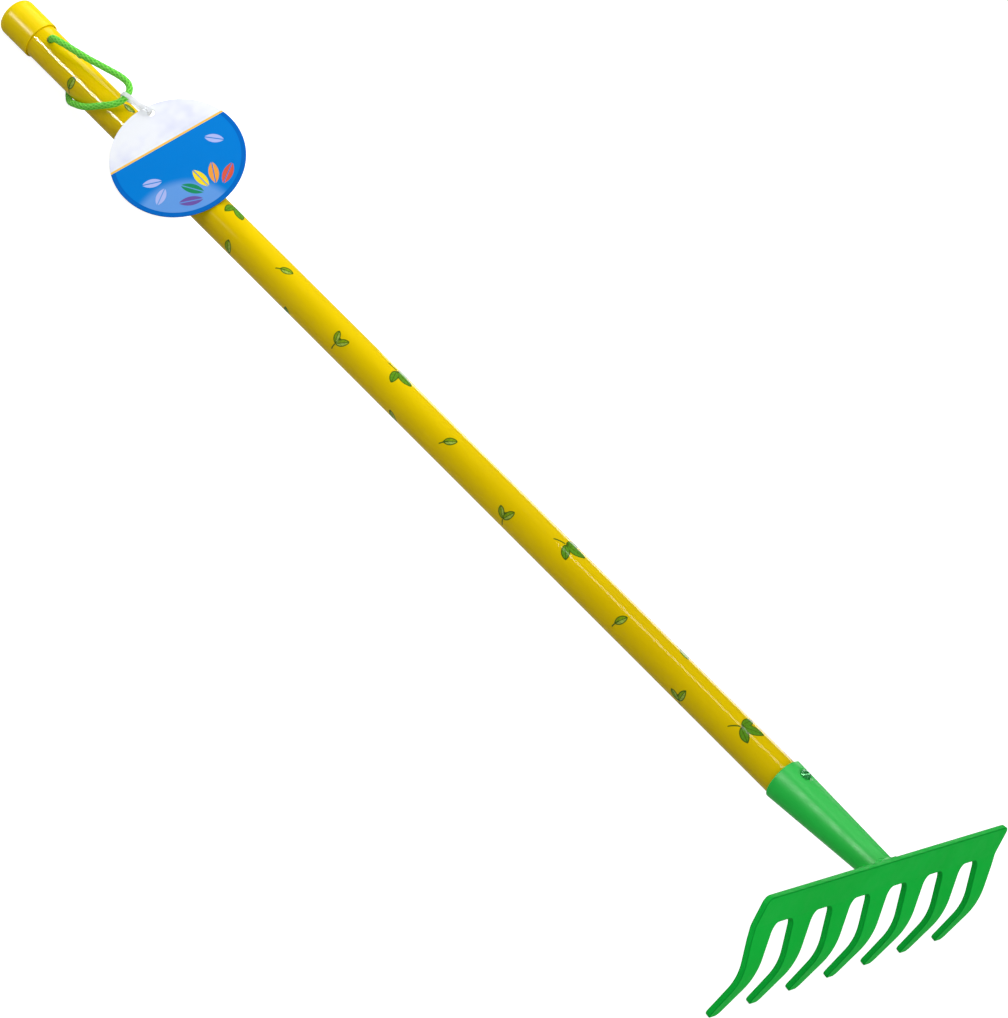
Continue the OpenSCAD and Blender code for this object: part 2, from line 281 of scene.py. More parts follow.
class Nodes:
    """One material's node tree round a principled shader, built a call at a time."""

    def __init__(self, name: str) -> None:
        """Starts the material with its shader and output.

        Args:
            name: the material's name.
        """
        self.material = bpy.data.materials.new(name)
        self.material.use_nodes = True
        self.tree = self.material.node_tree
        self.tree.nodes.clear()
        self.shader = self.tree.nodes.new("ShaderNodeBsdfPrincipled")
        out = self.tree.nodes.new("ShaderNodeOutputMaterial")
        self.tree.links.new(self.shader.outputs["BSDF"], out.inputs["Surface"])

    def feed(self, socket: NodeSocket, value: Feed) -> None:
        """Links a socket to another, or sets its value.

        Args:
            socket: the input.
            value: another node's output, a number or a colour.
        """
        if isinstance(value, NodeSocket):
            self.tree.links.new(value, socket)
        else:
            socket.default_value = value

    def node(self, kind: str, inputs: dict, **settings: object) -> bpy.types.Node:
        """Adds a node with settings and with values or links on its inputs.

        Args:
            kind: the node's type.
            inputs: a value or link for each input that is set.
            **settings: the node's settings.

        Returns:
            The node.
        """
        made = self.tree.nodes.new(kind)
        for key, value in settings.items():
            setattr(made, key, value)
        for key, value in inputs.items():
            self.feed(made.inputs[key], value)
        return made

    def surface(self, **values: Feed) -> None:
        """Sets the shader's inputs; an underscore stands for a space in a name."""
        for key, value in values.items():
            self.feed(self.shader.inputs[key.replace("_", " ")], value)

    def place(self, scale: Sequence[float]) -> NodeSocket:
        """Object coordinates, scaled."""
        where = self.node("ShaderNodeTexCoord", {}).outputs["Object"]
        return self.node("ShaderNodeMapping", {"Vector": where, "Scale": scale}).outputs["Vector"]

    def value(self, name: str) -> NodeSocket:
        """A point attribute of the piece."""
        return self.node("ShaderNodeAttribute", {}, attribute_name=name).outputs["Fac"]

    def noise(self, where: NodeSocket, scale: float, detail: float = 2.0) -> NodeSocket:
        """Cloudy noise from 0 to 1."""
        return self.node("ShaderNodeTexNoise", {"Vector": where, "Scale": scale, "Detail": detail}).outputs["Fac"]

    def sum(self, kind: str, a: Feed, b: Feed = 0.0) -> NodeSocket:
        """One step of arithmetic, such as ADD, MULTIPLY or ABSOLUTE."""
        return self.node("ShaderNodeMath", {0: a, 1: b}, operation=kind).outputs["Value"]

    def span(self, value: NodeSocket, lo: float, hi: float, to_lo: float = 0.0, to_hi: float = 1.0) -> NodeSocket:
        """Carries lo..hi smoothly over to to_lo..to_hi, and stops at both ends."""
        inputs = {"Value": value, "From Min": lo, "From Max": hi, "To Min": to_lo, "To Max": to_hi}
        return self.node("ShaderNodeMapRange", inputs, interpolation_type="SMOOTHSTEP").outputs["Result"]

    def inside(self, distance: NodeSocket, soft: float) -> NodeSocket:
        """1 where a signed distance is below 0 and 0 above, with a soft step between."""
        return self.span(distance, -soft, soft, 1.0, 0.0)

    def line(self, distance: NodeSocket, lo: float, hi: float) -> NodeSocket:
        """1 on a line, where the distance is less than lo on both sides, falling to 0 at hi."""
        return self.span(self.sum("ABSOLUTE", distance), lo, hi, 1.0, 0.0)

    def mix(self, share: NodeSocket, a: Feed, b: Feed) -> NodeSocket:
        """Goes from colour a to colour b."""
        return self.node("ShaderNodeMix", {0: share, 6: a, 7: b}, data_type="RGBA").outputs[2]

    def steps(self, value: NodeSocket, colours: Sequence[Rgba]) -> NodeSocket:
        """Picks one of several colours, in equal steps of a value from 0 to 1.

        Args:
            value: the value.
            colours: the colours from 0 upwards.

        Returns:
            The colour.
        """
        made = self.node("ShaderNodeValToRGB", {"Fac": value})
        ramp = made.color_ramp
        ramp.interpolation = "CONSTANT"
        for k, colour in enumerate(colours):
            stop = ramp.elements[k] if k < 2 else ramp.elements.new(k / len(colours))
            stop.position, stop.color = k / len(colours), colour
        return made.outputs["Color"]

    def relief(self, height: NodeSocket, strength: float, depth: float) -> None:
        """Raises the surface by a height pattern; depth is in millimetres."""
        inputs = {"Height": height, "Strength": strength, "Distance": depth * MM}
        self.surface(Normal=self.node("ShaderNodeBump", inputs).outputs["Normal"])


@dataclass(frozen=True)
class Finish:
    """A finish that can make its material; grain scales its noise along the handle."""

    name: str
    grain: ClassVar[float] = 1.0

    def material(self) -> bpy.types.Material:
        """Makes the finish's material.

        Returns:
            The material.
        """
        n = Nodes(self.name)
        self.paint(n, n.place((1.0, self.grain, 1.0)))
        return n.material

    def paint(self, n: Nodes, where: NodeSocket) -> None:
        """Sets the shader's inputs.

        Args:
            n: the material's node tree.
            where: the place in the piece.
        """
        raise NotImplementedError


@dataclass(frozen=True)
class PowderCoat(Finish):
    """Satin powder coat on steel: faint clouds, fine orange peel and painted shade, a darker line along the edges."""

    base: Rgba
    cloud: Rgba
    # edge: painted shade, the darker colour laid along rounded edges by the edge attribute
    edge: Rgba
    gloss: float = 0.012
    rough: float = 0.42
    peel_scale: float = 850.0
    peel_depth: float = 0.05

    def paint(self, n: Nodes, where: NodeSocket) -> None:
        """Sets up the coat.

        Args:
            n, where: as in Finish.paint.
        """
        coat = n.mix(n.span(n.noise(where, 22.0, 3.0), 0.35, 0.65), self.base, self.cloud)
        # The edge attribute mixes in painted shade along the edges.
        n.surface(Base_Color=n.mix(n.value("edge"), coat, self.edge))
        n.surface(Roughness=n.span(n.noise(where, 120.0), 0.3, 0.7, self.rough - 0.04, self.rough + 0.05))
        n.surface(Specular_IOR_Level=self.gloss)
        n.relief(n.noise(where, self.peel_scale, 1.5), 0.35, self.peel_depth)


@dataclass(frozen=True)
class GlossCoat(Finish):
    """Dark glossy coat on a small fastener, rubbed thin in places."""

    base: Rgba
    worn: Rgba

    def paint(self, n: Nodes, where: NodeSocket) -> None:
        """Sets up the coat.

        Args:
            n, where: as in Finish.paint.
        """
        n.surface(Base_Color=n.mix(n.span(n.noise(where, 900.0, 3.0), 0.45, 0.75), self.base, self.worn))
        n.surface(Roughness=n.span(n.noise(where, 600.0), 0.3, 0.7, 0.12, 0.24))
        n.surface(Metallic=0.25, Specular_IOR_Level=0.6)
        n.relief(n.noise(where, 1500.0), 0.2, 0.03)


@dataclass(frozen=True)
class PrintedFilm(Finish):
    """Glossy shrink film with printed leaves: the leaves come from the piece's attributes."""

    base: Rgba
    cloud: Rgba
    leaf: Rgba
    light: Rgba
    line: Rgba
    deep: Rgba
    line_half: float = 0.3
    rib_step: float = 1.3
    grain: ClassVar[float] = 0.22

    def paint(self, n: Nodes, where: NodeSocket) -> None:
        """Sets up the film.

        Args:
            n, where: as in Finish.paint.
        """
        ground = n.mix(n.span(n.noise(where, 35.0, 3.0), 0.35, 0.7), self.base, self.cloud)
        edge, across, along = n.value("leaf_edge"), n.value("leaf_across"), n.value("leaf_along")
        half = n.mix(n.span(across, -0.3, 0.5), self.leaf, self.light)
        half = n.mix(n.span(n.value("leaf_deep"), 0.4, 0.6), half, self.deep)
        slant = n.sum("ADD", along, n.sum("MULTIPLY", n.sum("ABSOLUTE", across), -0.9))
        rib = n.span(n.sum("PINGPONG", slant, self.rib_step), 0.1, 0.3, 0.55, 0.0)
        drawn = n.mix(n.sum("MAXIMUM", rib, n.line(across, 0.12, 0.3)), half, self.line)
        printed = n.mix(n.inside(edge, 0.12), ground, drawn)
        rim = n.line(edge, self.line_half - 0.1, self.line_half + 0.1)
        stem = n.sum("MULTIPLY", n.inside(n.value("stem_end"), 0.2), n.line(n.value("stem_across"), 0.3, 0.5))
        n.surface(Base_Color=n.mix(n.sum("MAXIMUM", rim, stem), printed, self.line))
        n.surface(Roughness=n.span(n.noise(where, 260.0), 0.3, 0.7, 0.04, 0.09))
        n.surface(Specular_IOR_Level=0.07)
        wave = n.sum("ADD", n.noise(where, 90.0, 1.0), n.sum("MULTIPLY", n.noise(where, 420.0, 1.0), 0.12))
        n.relief(wave, 0.25, 0.35)


@dataclass(frozen=True)
class MouldedPlastic(Finish):
    """Glossy moulded plastic with fine flow streaks and a few rubbed spots."""

    base: Rgba
    cloud: Rgba
    grain: ClassVar[float] = 0.3

    def paint(self, n: Nodes, where: NodeSocket) -> None:
        """Sets up the plastic.

        Args:
            n, where: as in Finish.paint.
        """
        n.surface(Base_Color=n.mix(n.span(n.noise(where, 60.0, 3.0), 0.35, 0.7), self.base, self.cloud))
        n.surface(Roughness=n.span(n.noise(where, 180.0, 3.0), 0.3, 0.75, 0.2, 0.28), Specular_IOR_Level=0.06)
        n.relief(n.noise(where, 700.0), 0.2, 0.03)


@dataclass(frozen=True)
class BraidedYarn(Finish):
    """Soft braided cord: painted shade in the furrows and a painted highlight on the strands' crowns, with fibre
    flecks.
    """

    base: Rgba
    # deep is painted shade for the furrows; pale is a painted highlight on the crowns, and also the flecks' colour and
    # the sheen tint
    deep: Rgba
    pale: Rgba

    def paint(self, n: Nodes, where: NodeSocket) -> None:
        """Sets up the yarn.

        Args:
            n, where: as in Finish.paint.
        """
        high = n.value("strand")
        # Painted shade in the furrows, painted highlight on the crowns of the strands.
        strand = n.mix(n.span(high, 0.72, 1.0, 0.0, 0.4), n.mix(high, self.deep, self.base), self.pale)
        fleck = n.span(n.noise(where, 1400.0, 3.0), 0.52, 0.72, 0.0, 0.6)
        n.surface(Base_Color=n.mix(fleck, strand, self.pale))
        n.surface(Roughness=0.75, Specular_IOR_Level=0.2, Sheen_Weight=0.3, Sheen_Roughness=0.4, Sheen_Tint=self.pale)
        n.relief(n.noise(where, 3200.0, 3.0), 0.5, 0.12)


@dataclass(frozen=True)
class ClearStrip(Finish):
    """Clear soft plastic strip, a little milky and scratched."""

    base: Rgba

    def paint(self, n: Nodes, where: NodeSocket) -> None:
        """Sets up the strip.

        Args:
            n, where: as in Finish.paint.
        """
        n.surface(Base_Color=self.base, Transmission_Weight=0.45, IOR=1.3)
        n.surface(Roughness=n.span(n.noise(where, 300.0, 2.0), 0.35, 0.75, 0.3, 0.45))
        n.relief(n.noise(where, 400.0), 0.1, 0.03)


@dataclass(frozen=True)
class CoatedCard(Finish):
    """Coated card in plain fields: pale above a slanting line, blue below it, with a darker border."""

    pale: Rgba
    shade: Rgba
    field: Rgba
    light: Rgba
    border: Rgba
    stripe: Rgba
    petals: tuple[Rgba, ...]

    def paint(self, n: Nodes, where: NodeSocket) -> None:
        """Sets up the card.

        Args:
            n, where: as in Finish.paint.
        """
        line, rim = n.value("field_line"), n.value("rim_in")
        hill, leaf, across = n.value("hill"), n.value("leaf_edge"), n.value("leaf_across")
        sky = n.mix(n.span(n.noise(where, 55.0, 2.0), 0.4, 0.7), self.pale, self.shade)
        low = n.mix(n.span(hill, -6.0, 0.4, 0.75, 0.0), self.field, self.light)
        vein = n.span(n.sum("ABSOLUTE", across), 0.2, 0.45, 0.0, 1.0)
        petal = n.steps(n.value("petal"), self.petals)
        low = n.mix(n.sum("MULTIPLY", vein, n.inside(leaf, 0.15)), low, petal)
        low = n.mix(n.span(rim, 2.6, 3.0, 1.0, 0.0), low, self.border)
        both = n.mix(n.span(line, -0.15, 0.15), sky, low)
        edge = n.line(n.sum("ADD", line, 0.7), 0.55, 0.75)
        n.surface(Base_Color=n.mix(edge, both, self.stripe))
        n.surface(Roughness=n.span(n.noise(where, 240.0, 3.0), 0.3, 0.7, 0.3, 0.42), Specular_IOR_Level=0.02)
        n.relief(n.noise(where, 1300.0, 2.0), 0.15, 0.03)


@dataclass(frozen=True)
class TurnedWood(Finish):
    """Plain turned wood with grain along the handle."""

    base: Rgba
    dark: Rgba
    grain: ClassVar[float] = 0.05

    def paint(self, n: Nodes, where: NodeSocket) -> None:
        """Sets up the wood.

        Args:
            n, where: as in Finish.paint.
        """
        fibre = n.noise(where, 420.0, 4.0)
        n.surface(Base_Color=n.mix(n.span(fibre, 0.4, 0.65), self.base, self.dark), Roughness=0.65)
        n.relief(fibre, 0.4, 0.1)


# The third colour of each powder coat is painted shade for its edges.
HEAD_GREEN = PowderCoat("head_green", tone(22, 206, 70), tone(20, 201, 66), tone(14, 162, 52))
# Painted light: the socket's coat is the head's green made lighter and paler, standing in for sheen and brighter light
# on socket and weld.
SOCKET_GREEN_LIGHTENED = PowderCoat("socket_green_lightened", tone(46, 217, 84), tone(42, 213, 81), tone(31, 172, 62),
                          gloss=0.15, rough=0.36)
SCREW_GREEN = GlossCoat("screw_green", tone(26, 150, 66), tone(96, 200, 128))
FILM_YELLOW = PrintedFilm("film_yellow", tone(238, 205, 0), tone(232, 198, 0), tone(140, 172, 18),
                          tone(170, 196, 80), tone(72, 104, 22), tone(98, 158, 34))
CAP_YELLOW = MouldedPlastic("cap_yellow", tone(248, 218, 0), tone(243, 211, 0))
# The cord's second colour is painted shade for the furrows, its third a painted highlight on the crowns that also
# colours the fibre flecks.
CORD_GREEN = BraidedYarn("cord_green", tone(96, 220, 44), tone(60, 176, 26), tone(158, 242, 106))
STRAP_CLEAR = ClearStrip("strap_clear", tone(236, 238, 240))
TAG_CARD = CoatedCard("tag_card", tone(246, 249, 255), tone(228, 232, 252), tone(0, 128, 218), tone(116, 168, 236),
                      tone(0, 106, 200), tone(250, 200, 80),
                      (tone(112, 84, 168), tone(34, 146, 96), tone(250, 224, 40), tone(246, 164, 66), tone(224, 92, 66),
                       tone(176, 190, 244)))
DOWEL_WOOD = TurnedWood("dowel_wood", tone(222, 190, 140), tone(196, 158, 106))


class Reach(Enum):
    """What a lamp lights: the surfaces' own colour, or gloss alone as a reflector card does."""

    COLOUR = "colour"
    GLOSS = "gloss"


@dataclass(frozen=True)
class Lamp:
    """One flat soft lamp: its middle, what it faces, its two sizes in metres and its brightness."""

    name: str
    at: tuple[float, float, float]
    to: tuple[float, float, float]
    size: tuple[float, float]
    glow: float
    reach: Reach = Reach.COLOUR

    def build(self) -> None:
        """Makes the lamp; its power is brightness times pi times its area."""
        data = bpy.data.lights.new(self.name, "AREA")
        data.shape = "RECTANGLE"
        data.size, data.size_y = self.size
        data.energy = self.glow * math.pi * self.size[0] * self.size[1]
        z = unit(np.array(self.at) - np.array(self.to))
        x = unit(np.cross([0.0, 1.0, 0.0], z))
        axes = np.stack([x, np.cross(z, x), z], axis=1)
        lamp = put(self.name, data)
        lamp.rotation_mode = "QUATERNION"
        lamp.location = self.at
        lamp.rotation_quaternion = Matrix(axes.tolist()).to_quaternion()
        lamp.visible_diffuse = self.reach is Reach.COLOUR
        lamp.visible_glossy = self.reach is Reach.GLOSS
        lamp.visible_camera = False


@dataclass
class Studio:
    """Camera, soft light and pale floor."""

    camera_at: tuple[float, float, float] = (-2.14879, -0.91938, 1.13867)
    camera_turn: tuple[float, float, float, float] = (0.817896, 0.316910, -0.430055, -0.213695)
    focal_px: float = 4574.343
    floor_half: float = 14.0
    floor_tone: Rgba = tone(160, 160, 162)
    floor_lift: float = 0.94
    floor_shine: float = 0.35
    sky_top: float = 0.22
    sky_low: float = 0.18
    lamps: tuple[Lamp, ...] = (
        Lamp("key", (0.1, 0.4, 0.52), (0.0, 0.1, 0.0), (0.8, 0.8), 2.45),
        Lamp("left_fill", (-1.3, 1.6, 0.5), (0.0, 0.0, 0.0), (0.8, 1.4), 1.6),
        Lamp("front_fill", (-0.4, -2.4, 1.1), (0.0, -0.2, 0.0), (2.2, 1.6), 2.5),
        Lamp("low_fill", (-0.75, -0.25, 0.12), (0.0, -0.32, 0.05), (0.3, 0.3), 3.6),
        Lamp("side_card", (-1.36, 1.09, 0.31), (0.0, 0.3, 0.03), (0.34, 0.26), 120.0, Reach.GLOSS),
        Lamp("handle_card", (-0.40, 0.38, 1.46), (0.0, -0.15, 0.05), (0.40, 0.32), 17.0, Reach.GLOSS),
        Lamp("socket_card", (-1.3, 0.03, 0.83), (0.0, -0.33, 0.05), (0.82, 0.24), 42.0, Reach.GLOSS),
        Lamp("sheen_card", (0.2, -0.08, 1.2), (0.0, -0.33, 0.05), (1.6, 0.2), 6.5, Reach.GLOSS),
        Lamp("head_card", (1.26, 0.37, 0.33), (0.0, -0.36, 0.06), (0.56, 0.5), 5.0, Reach.GLOSS),
        Lamp("cap_card", (0.5, 1.2, 1.2), (0.0, 0.34, 0.03), (0.9, 0.24), 5.0, Reach.GLOSS),
    )

    def camera(self) -> None:
        """Sets the camera at the photograph's viewing angle."""
        data = bpy.data.cameras.new("view")
        data.sensor_fit, data.sensor_width = "HORIZONTAL", SENSOR
        data.lens = self.focal_px * SENSOR / PICTURE_WIDTH
        data.clip_start, data.clip_end = 0.05, 60.0
        made = put("view", data)
        made.location = self.camera_at
        made.rotation_mode = "QUATERNION"
        made.rotation_quaternion = self.camera_turn
        bpy.context.scene.camera = made

    def sky(self) -> None:
        """Lights the world softly, more from above than from the sides."""
        world = bpy.data.worlds.new("sky")
        world.use_nodes = True
        tree = world.node_tree
        back = tree.nodes["Background"]
        where = tree.nodes.new("ShaderNodeTexCoord")
        split = tree.nodes.new("ShaderNodeSeparateXYZ")
        span = tree.nodes.new("ShaderNodeMapRange")
        ends = {"From Min": -0.15, "From Max": 0.9, "To Min": self.sky_low, "To Max": self.sky_top}
        for key, value in ends.items():
            span.inputs[key].default_value = value
        tree.links.new(where.outputs["Generated"], split.inputs["Vector"])
        tree.links.new(split.outputs["Z"], span.inputs["Value"])
        tree.links.new(span.outputs["Result"], back.inputs["Strength"])
        back.inputs["Color"].default_value = WHITE
        bpy.context.scene.world = world

    def floor(self) -> None:
        """Lays a pale floor that looks white to the camera, less so in gloss, and keeps the shadow."""
        half = self.floor_half
        mesh = bpy.data.meshes.new("floor")
        mesh.from_pydata([(-half, -half, 0), (half, -half, 0), (half, half, 0), (-half, half, 0)], [], [(0, 1, 2, 3)])
        made = put("floor", mesh)
        n = Nodes("floor_pale")
        path = n.node("ShaderNodeLightPath", {})
        seen = n.sum("MAXIMUM", path.outputs["Is Camera Ray"], path.outputs["Is Transmission Ray"])
        seen = n.sum("MAXIMUM", seen, n.sum("MULTIPLY", path.outputs["Is Glossy Ray"], self.floor_shine))
        n.surface(Base_Color=self.floor_tone, Roughness=0.9, Specular_IOR_Level=0.0)
        n.surface(Emission_Color=WHITE, Emission_Strength=n.sum("MULTIPLY", seen, self.floor_lift))
        mesh.materials.append(n.material)

    def build(self) -> None:
        """Sets up camera, floor, sky and lamps."""
        self.camera()
        self.floor()
        self.sky()
        for lamp in self.lamps:
            lamp.build()
        bpy.context.scene.view_settings.view_transform = "Standard"


def smooth_line(pts: Array, count: int) -> Array:
    """Natural cubic spline through points, by chord length.

    Args:
        pts: the points that it passes.
        count: how many points it gets.

    Returns:
        The points, evenly spaced by chord length.
    """
    step = np.diff(pts, axis=0)
    d = np.linalg.norm(step, axis=1)
    t = np.concatenate([[0.0], np.cumsum(d)])
    n = len(pts)
    rows = np.eye(n)
    right = np.zeros((n, 3))
    i = np.arange(1, n - 1)
    rows[i, i - 1], rows[i, i], rows[i, i + 1] = d[:-1], 2.0 * (d[:-1] + d[1:]), d[1:]
    right[i] = 6.0 * (step[1:] / d[1:, None] - step[:-1] / d[:-1, None])
    m = np.linalg.solve(rows, right)
    q = np.linspace(0.0, t[-1], count)
    k = np.clip(np.searchsorted(t, q, side="right") - 1, 0, n - 2)
    h, a, b = d[k][:, None], (t[k + 1] - q)[:, None], (q - t[k])[:, None]
    return (m[k] * a ** 3 + m[k + 1] * b ** 3) / (6 * h) + (pts[k] / h - m[k] * h / 6) * a \
        + (pts[k + 1] / h - m[k + 1] * h / 6) * b


def carried_axes(line: Array, first: Array) -> tuple[Array, Array]:
    """Two side axes along a line, carried from ring to ring with the least twist.

    Args:
        line: the centreline's points.
        first: a direction that the first side axis starts near.

    Returns:
        The two axes at every point.
    """
    way = unit(np.gradient(line, axis=0))
    sides = np.empty_like(line)
    side = first
    for k, t in enumerate(way):
        side = side - (side @ t) * t
        side = side / np.linalg.norm(side)
        sides[k] = side
    return sides, np.cross(way, sides)


def tube(line: Array, radius: Array, first: Array) -> Array:
    """A tube's rings: the radius, given by ring and by turn, laid off from the centreline.

    Args:
        line: the centreline's points.
        radius: one radius for each ring and each point round it.
        first: where the rings start.

    Returns:
        The grid of points.
    """
    u, v = carried_axes(line, first)
    turn = once_round(radius.shape[1])[None, :, None]
    return line[:, None] + radius[..., None] * (np.cos(turn) * u[:, None] + np.sin(turn) * v[:, None])


def lathe(profile: Array, turns: int) -> Array:
    """Turns a profile of (along Y, radius) pairs about the handle's line.

    Args:
        profile: the pairs.
        turns: how many points go round.

    Returns:
        The grid of points, a row for each pair.
    """
    t = once_round(turns)
    y, r = profile[:, :1], profile[:, 1:]
    return xyz(r * np.cos(t), y, r * np.sin(t))


def arc(middle: Sequence[float], radius: float, start: float, end: float, count: int) -> Array:
    """Points on a circle's arc in two dimensions; the angles are in degrees."""
    t = np.radians(np.linspace(start, end, count))
    return np.array(middle) + radius * np.stack([np.cos(t), np.sin(t)], axis=-1)


@dataclass
class HangCord:
    """Braided cord through the handle's cross hole, its two ends tied behind the handle."""

    handle_r: float = HANDLE_R
    hole_in: float = CORD_HOLE_IN
    hole_angle: float = CORD_HOLE_ANGLE
    cord_d: float = CORD_D
    knot_at: tuple[float, float, float, float] = (12.2, 206, 1, 5)
    route: tuple[tuple[float, float, float, float], ...] = (
        (10.1, 201, 1, 6.1), (5.8, 191.5, 1, 6.7), (2.9, 186, 1, 5.2), (0.7, 181.5, 1, 2), (0, 0, -0.86, 0),
        (0, 0, -0.43, 0), (0, 0, 0, 0), (0, 0, 0.43, 0), (0, 0, 0.86, 0), (1.1, 1.5, 1, 2.7),
        (4, 1.5, 1, 5.6), (8.1, 0, 1, 6.7), (12.7, -4, 1, 6.8), (18, -8, 1, 6.9), (23, -13, 1, 6.8),
        (28, -17, 1, 7), (33, -21.5, 1, 7.5), (38, -26, 1, 8.1), (43, -30.5, 1, 8.7), (48, -34, 1, 9.5),
        (53.4, -35.5, 1, 10.2), (58.7, -33.5, 1, 10.1), (62.6, -26, 1, 8.4), (64.1, -12, 1, 6),
        (63.2, 2, 1, 4.2), (60.3, 19, 1, 3.5), (56.4, 34, 1, 2.8), (52.4, 50, 1, 2.6), (48, 66, 1, 2.6),
        (43.2, 80, 1, 2.6), (38.4, 93, 1, 2.5), (34.4, 108, 1, 2.4), (30.6, 124, 1, 2.4),
        (26.8, 140, 1, 2.4), (22.8, 156, 1, 2.5), (19, 173, 1, 3), (15.6, 190, 1, 3.9),
        (14, 197.5, 1, 4.4))
    rings: int = 1100
    sides: int = 48
    strands: int = 6
    lay: float = 0.62
    furrow: float = 0.13
    pinch: float = 0.2
    pinch_rise: float = 1.8
    pinch_along: float = 2.5
    knot_part: float = 0.78
    knot_size: float = 0.86
    knot_furrow: float = 0.1
    tail_len: float = 9.5
    tail_apart: tuple[float, float] = (1.6, 2.4)
    tail_drop: float = 1.2

    def points(self, entries: Sequence[Sequence[float]]) -> Array:
        """Places entries of the route round the handle.

        Args:
            entries: along from the hole, angle from it in degrees, part of the handle's radius, distance added.

        Returns:
            The points.
        """
        e = np.array(entries, dtype=float)
        r, b = e[:, 2] * self.handle_r + e[:, 3], np.radians(self.hole_angle + e[:, 1])
        return xyz(r * np.cos(b), -self.hole_in - e[:, 0], r * np.sin(b))

    def braid(self, length: float, rings: int) -> Array:
        """Height of the braid, 0 in the furrows and 1 on the strands: the higher of two crossing helices.

        Args:
            length: the cord's length.
            rings: how many rings it has.

        Returns:
            The height by ring and by turn.
        """
        s = np.linspace(0.0, length, rings)[:, None]
        t = once_round(self.sides)[None]
        twist = s * 2 * np.pi / (self.strands * self.lay)
        one, two = np.cos(self.strands * t + twist), np.cos(self.strands * t - twist)
        over = np.cos(2 * self.strands * t) * 0.25
        return np.clip(0.5 + 0.5 * np.maximum(one + over, two - over), 0.0, 1.0)

    def strand_tube(self, name: str, line: Array) -> Piece:
        """Lays the braid round a line, a fifth thinner where the hole's mouths pinch it, and closes both ends.

        Args:
            name: the piece's name.
            line: the centreline.

        Returns:
            The piece.
        """
        high = self.braid(line_length(line), len(line))
        radius = self.cord_d / 2 - self.furrow * (1.0 - high) + 0.02
        rise, off = np.hypot(line[:, 0], line[:, 2]) - self.handle_r, line[:, 1] + self.hole_in
        pinch = self.pinch * np.exp(-(rise / self.pinch_rise) ** 2 - (off / self.pinch_along) ** 2)
        shell = Shell()
        shell.rod(tube(line, radius * (1.0 - pinch)[:, None], np.array([0.3, 0.2, 1.0])), line[0], line[-1])
        return shell.piece(name, strand=np.concatenate([high.ravel(), [0.5, 0.5]]))

    def knot(self) -> Piece:
        """Ties the ends: a tight overhand knot on a trefoil line with two cut tails.

        Returns:
            The piece.
        """
        t = np.linspace(0.0, 2 * np.pi, 240)
        bow = xyz(np.sin(t) + 2 * np.sin(2 * t), np.cos(t) - 2 * np.cos(2 * t), -1.1 * np.sin(3 * t))
        middle = self.points([self.knot_at])[0]
        out = unit(middle * np.array([1.0, 0.0, 1.0]))
        axes = np.stack([TO_HEAD, np.cross(out, TO_HEAD), out])
        s = np.linspace(0.0, 1.0, 40)[:, None]
        shell, strand = Shell(), []

        def rings(line: Array, length: float) -> Array:
            """The thinner braid round a line, whose heights are kept for the piece.

            Args:
                line: the centreline.
                length: the length of braid on it.

            Returns:
                The tube's rings.
            """
            high = self.braid(length, len(line))
            strand.append(high)
            return tube(line, self.knot_part * self.cord_d / 2 - self.knot_furrow * (1 - high), out)

        shell.ring(rings(middle + self.knot_size * bow @ axes, 40.0)[:-1])
        strand[0] = strand[0][:-1]
        near, wider = self.tail_apart
        for side in (-1.0, 1.0):
            apart = side * (near + wider * s) * axes[1]
            bend = middle + self.tail_len * s * TO_HEAD + apart - self.tail_drop * s ** 2 * out
            shell.rod(rings(bend, 10.0), bend[0], bend[-1])
            strand.append(np.array([0.5, 0.2]))
        return shell.piece("cord_knot", strand=np.concatenate([high.ravel() for high in strand]))

    def build(self) -> None:
        line = smooth_line(self.points(self.route), self.rings)
        cord = dress(self.strand_tube("hang_cord", line), CORD_GREEN, ROOT, "cord_loop")
        knot = dress(self.knot(), CORD_GREEN, ROOT)
        path = REST.place(line)
        length = line_length(path)
        mouth = REST.place(self.points([(0, 180, 1, 0)]))[0]


def leaf_rim(x: Array, y: Array, long: float, wide: float) -> Array:
    """Signed distance to a leaf's rim: the leaf is the overlap of two circles, long in x and wide in y."""
    big = (long ** 2 + wide ** 2) / (4 * wide)
    return np.hypot(x, np.abs(y) + (big - wide / 2)) - big


def keep_nearest(kept: dict[str, Array], key: str, distance: Array, **values: Union[float, Array]) -> None:
    """Takes over values at the points where a distance is the least so far.

    Args:
        kept: what is kept for each point, changed in place.
        key: the name of the distance among what is kept.
        distance: the new distances.
        **values: what else is taken over.
    """
    near = distance < kept[key]
    for name, value in {key: distance, **values}.items():
        kept[name] = np.where(near, value, kept[name])


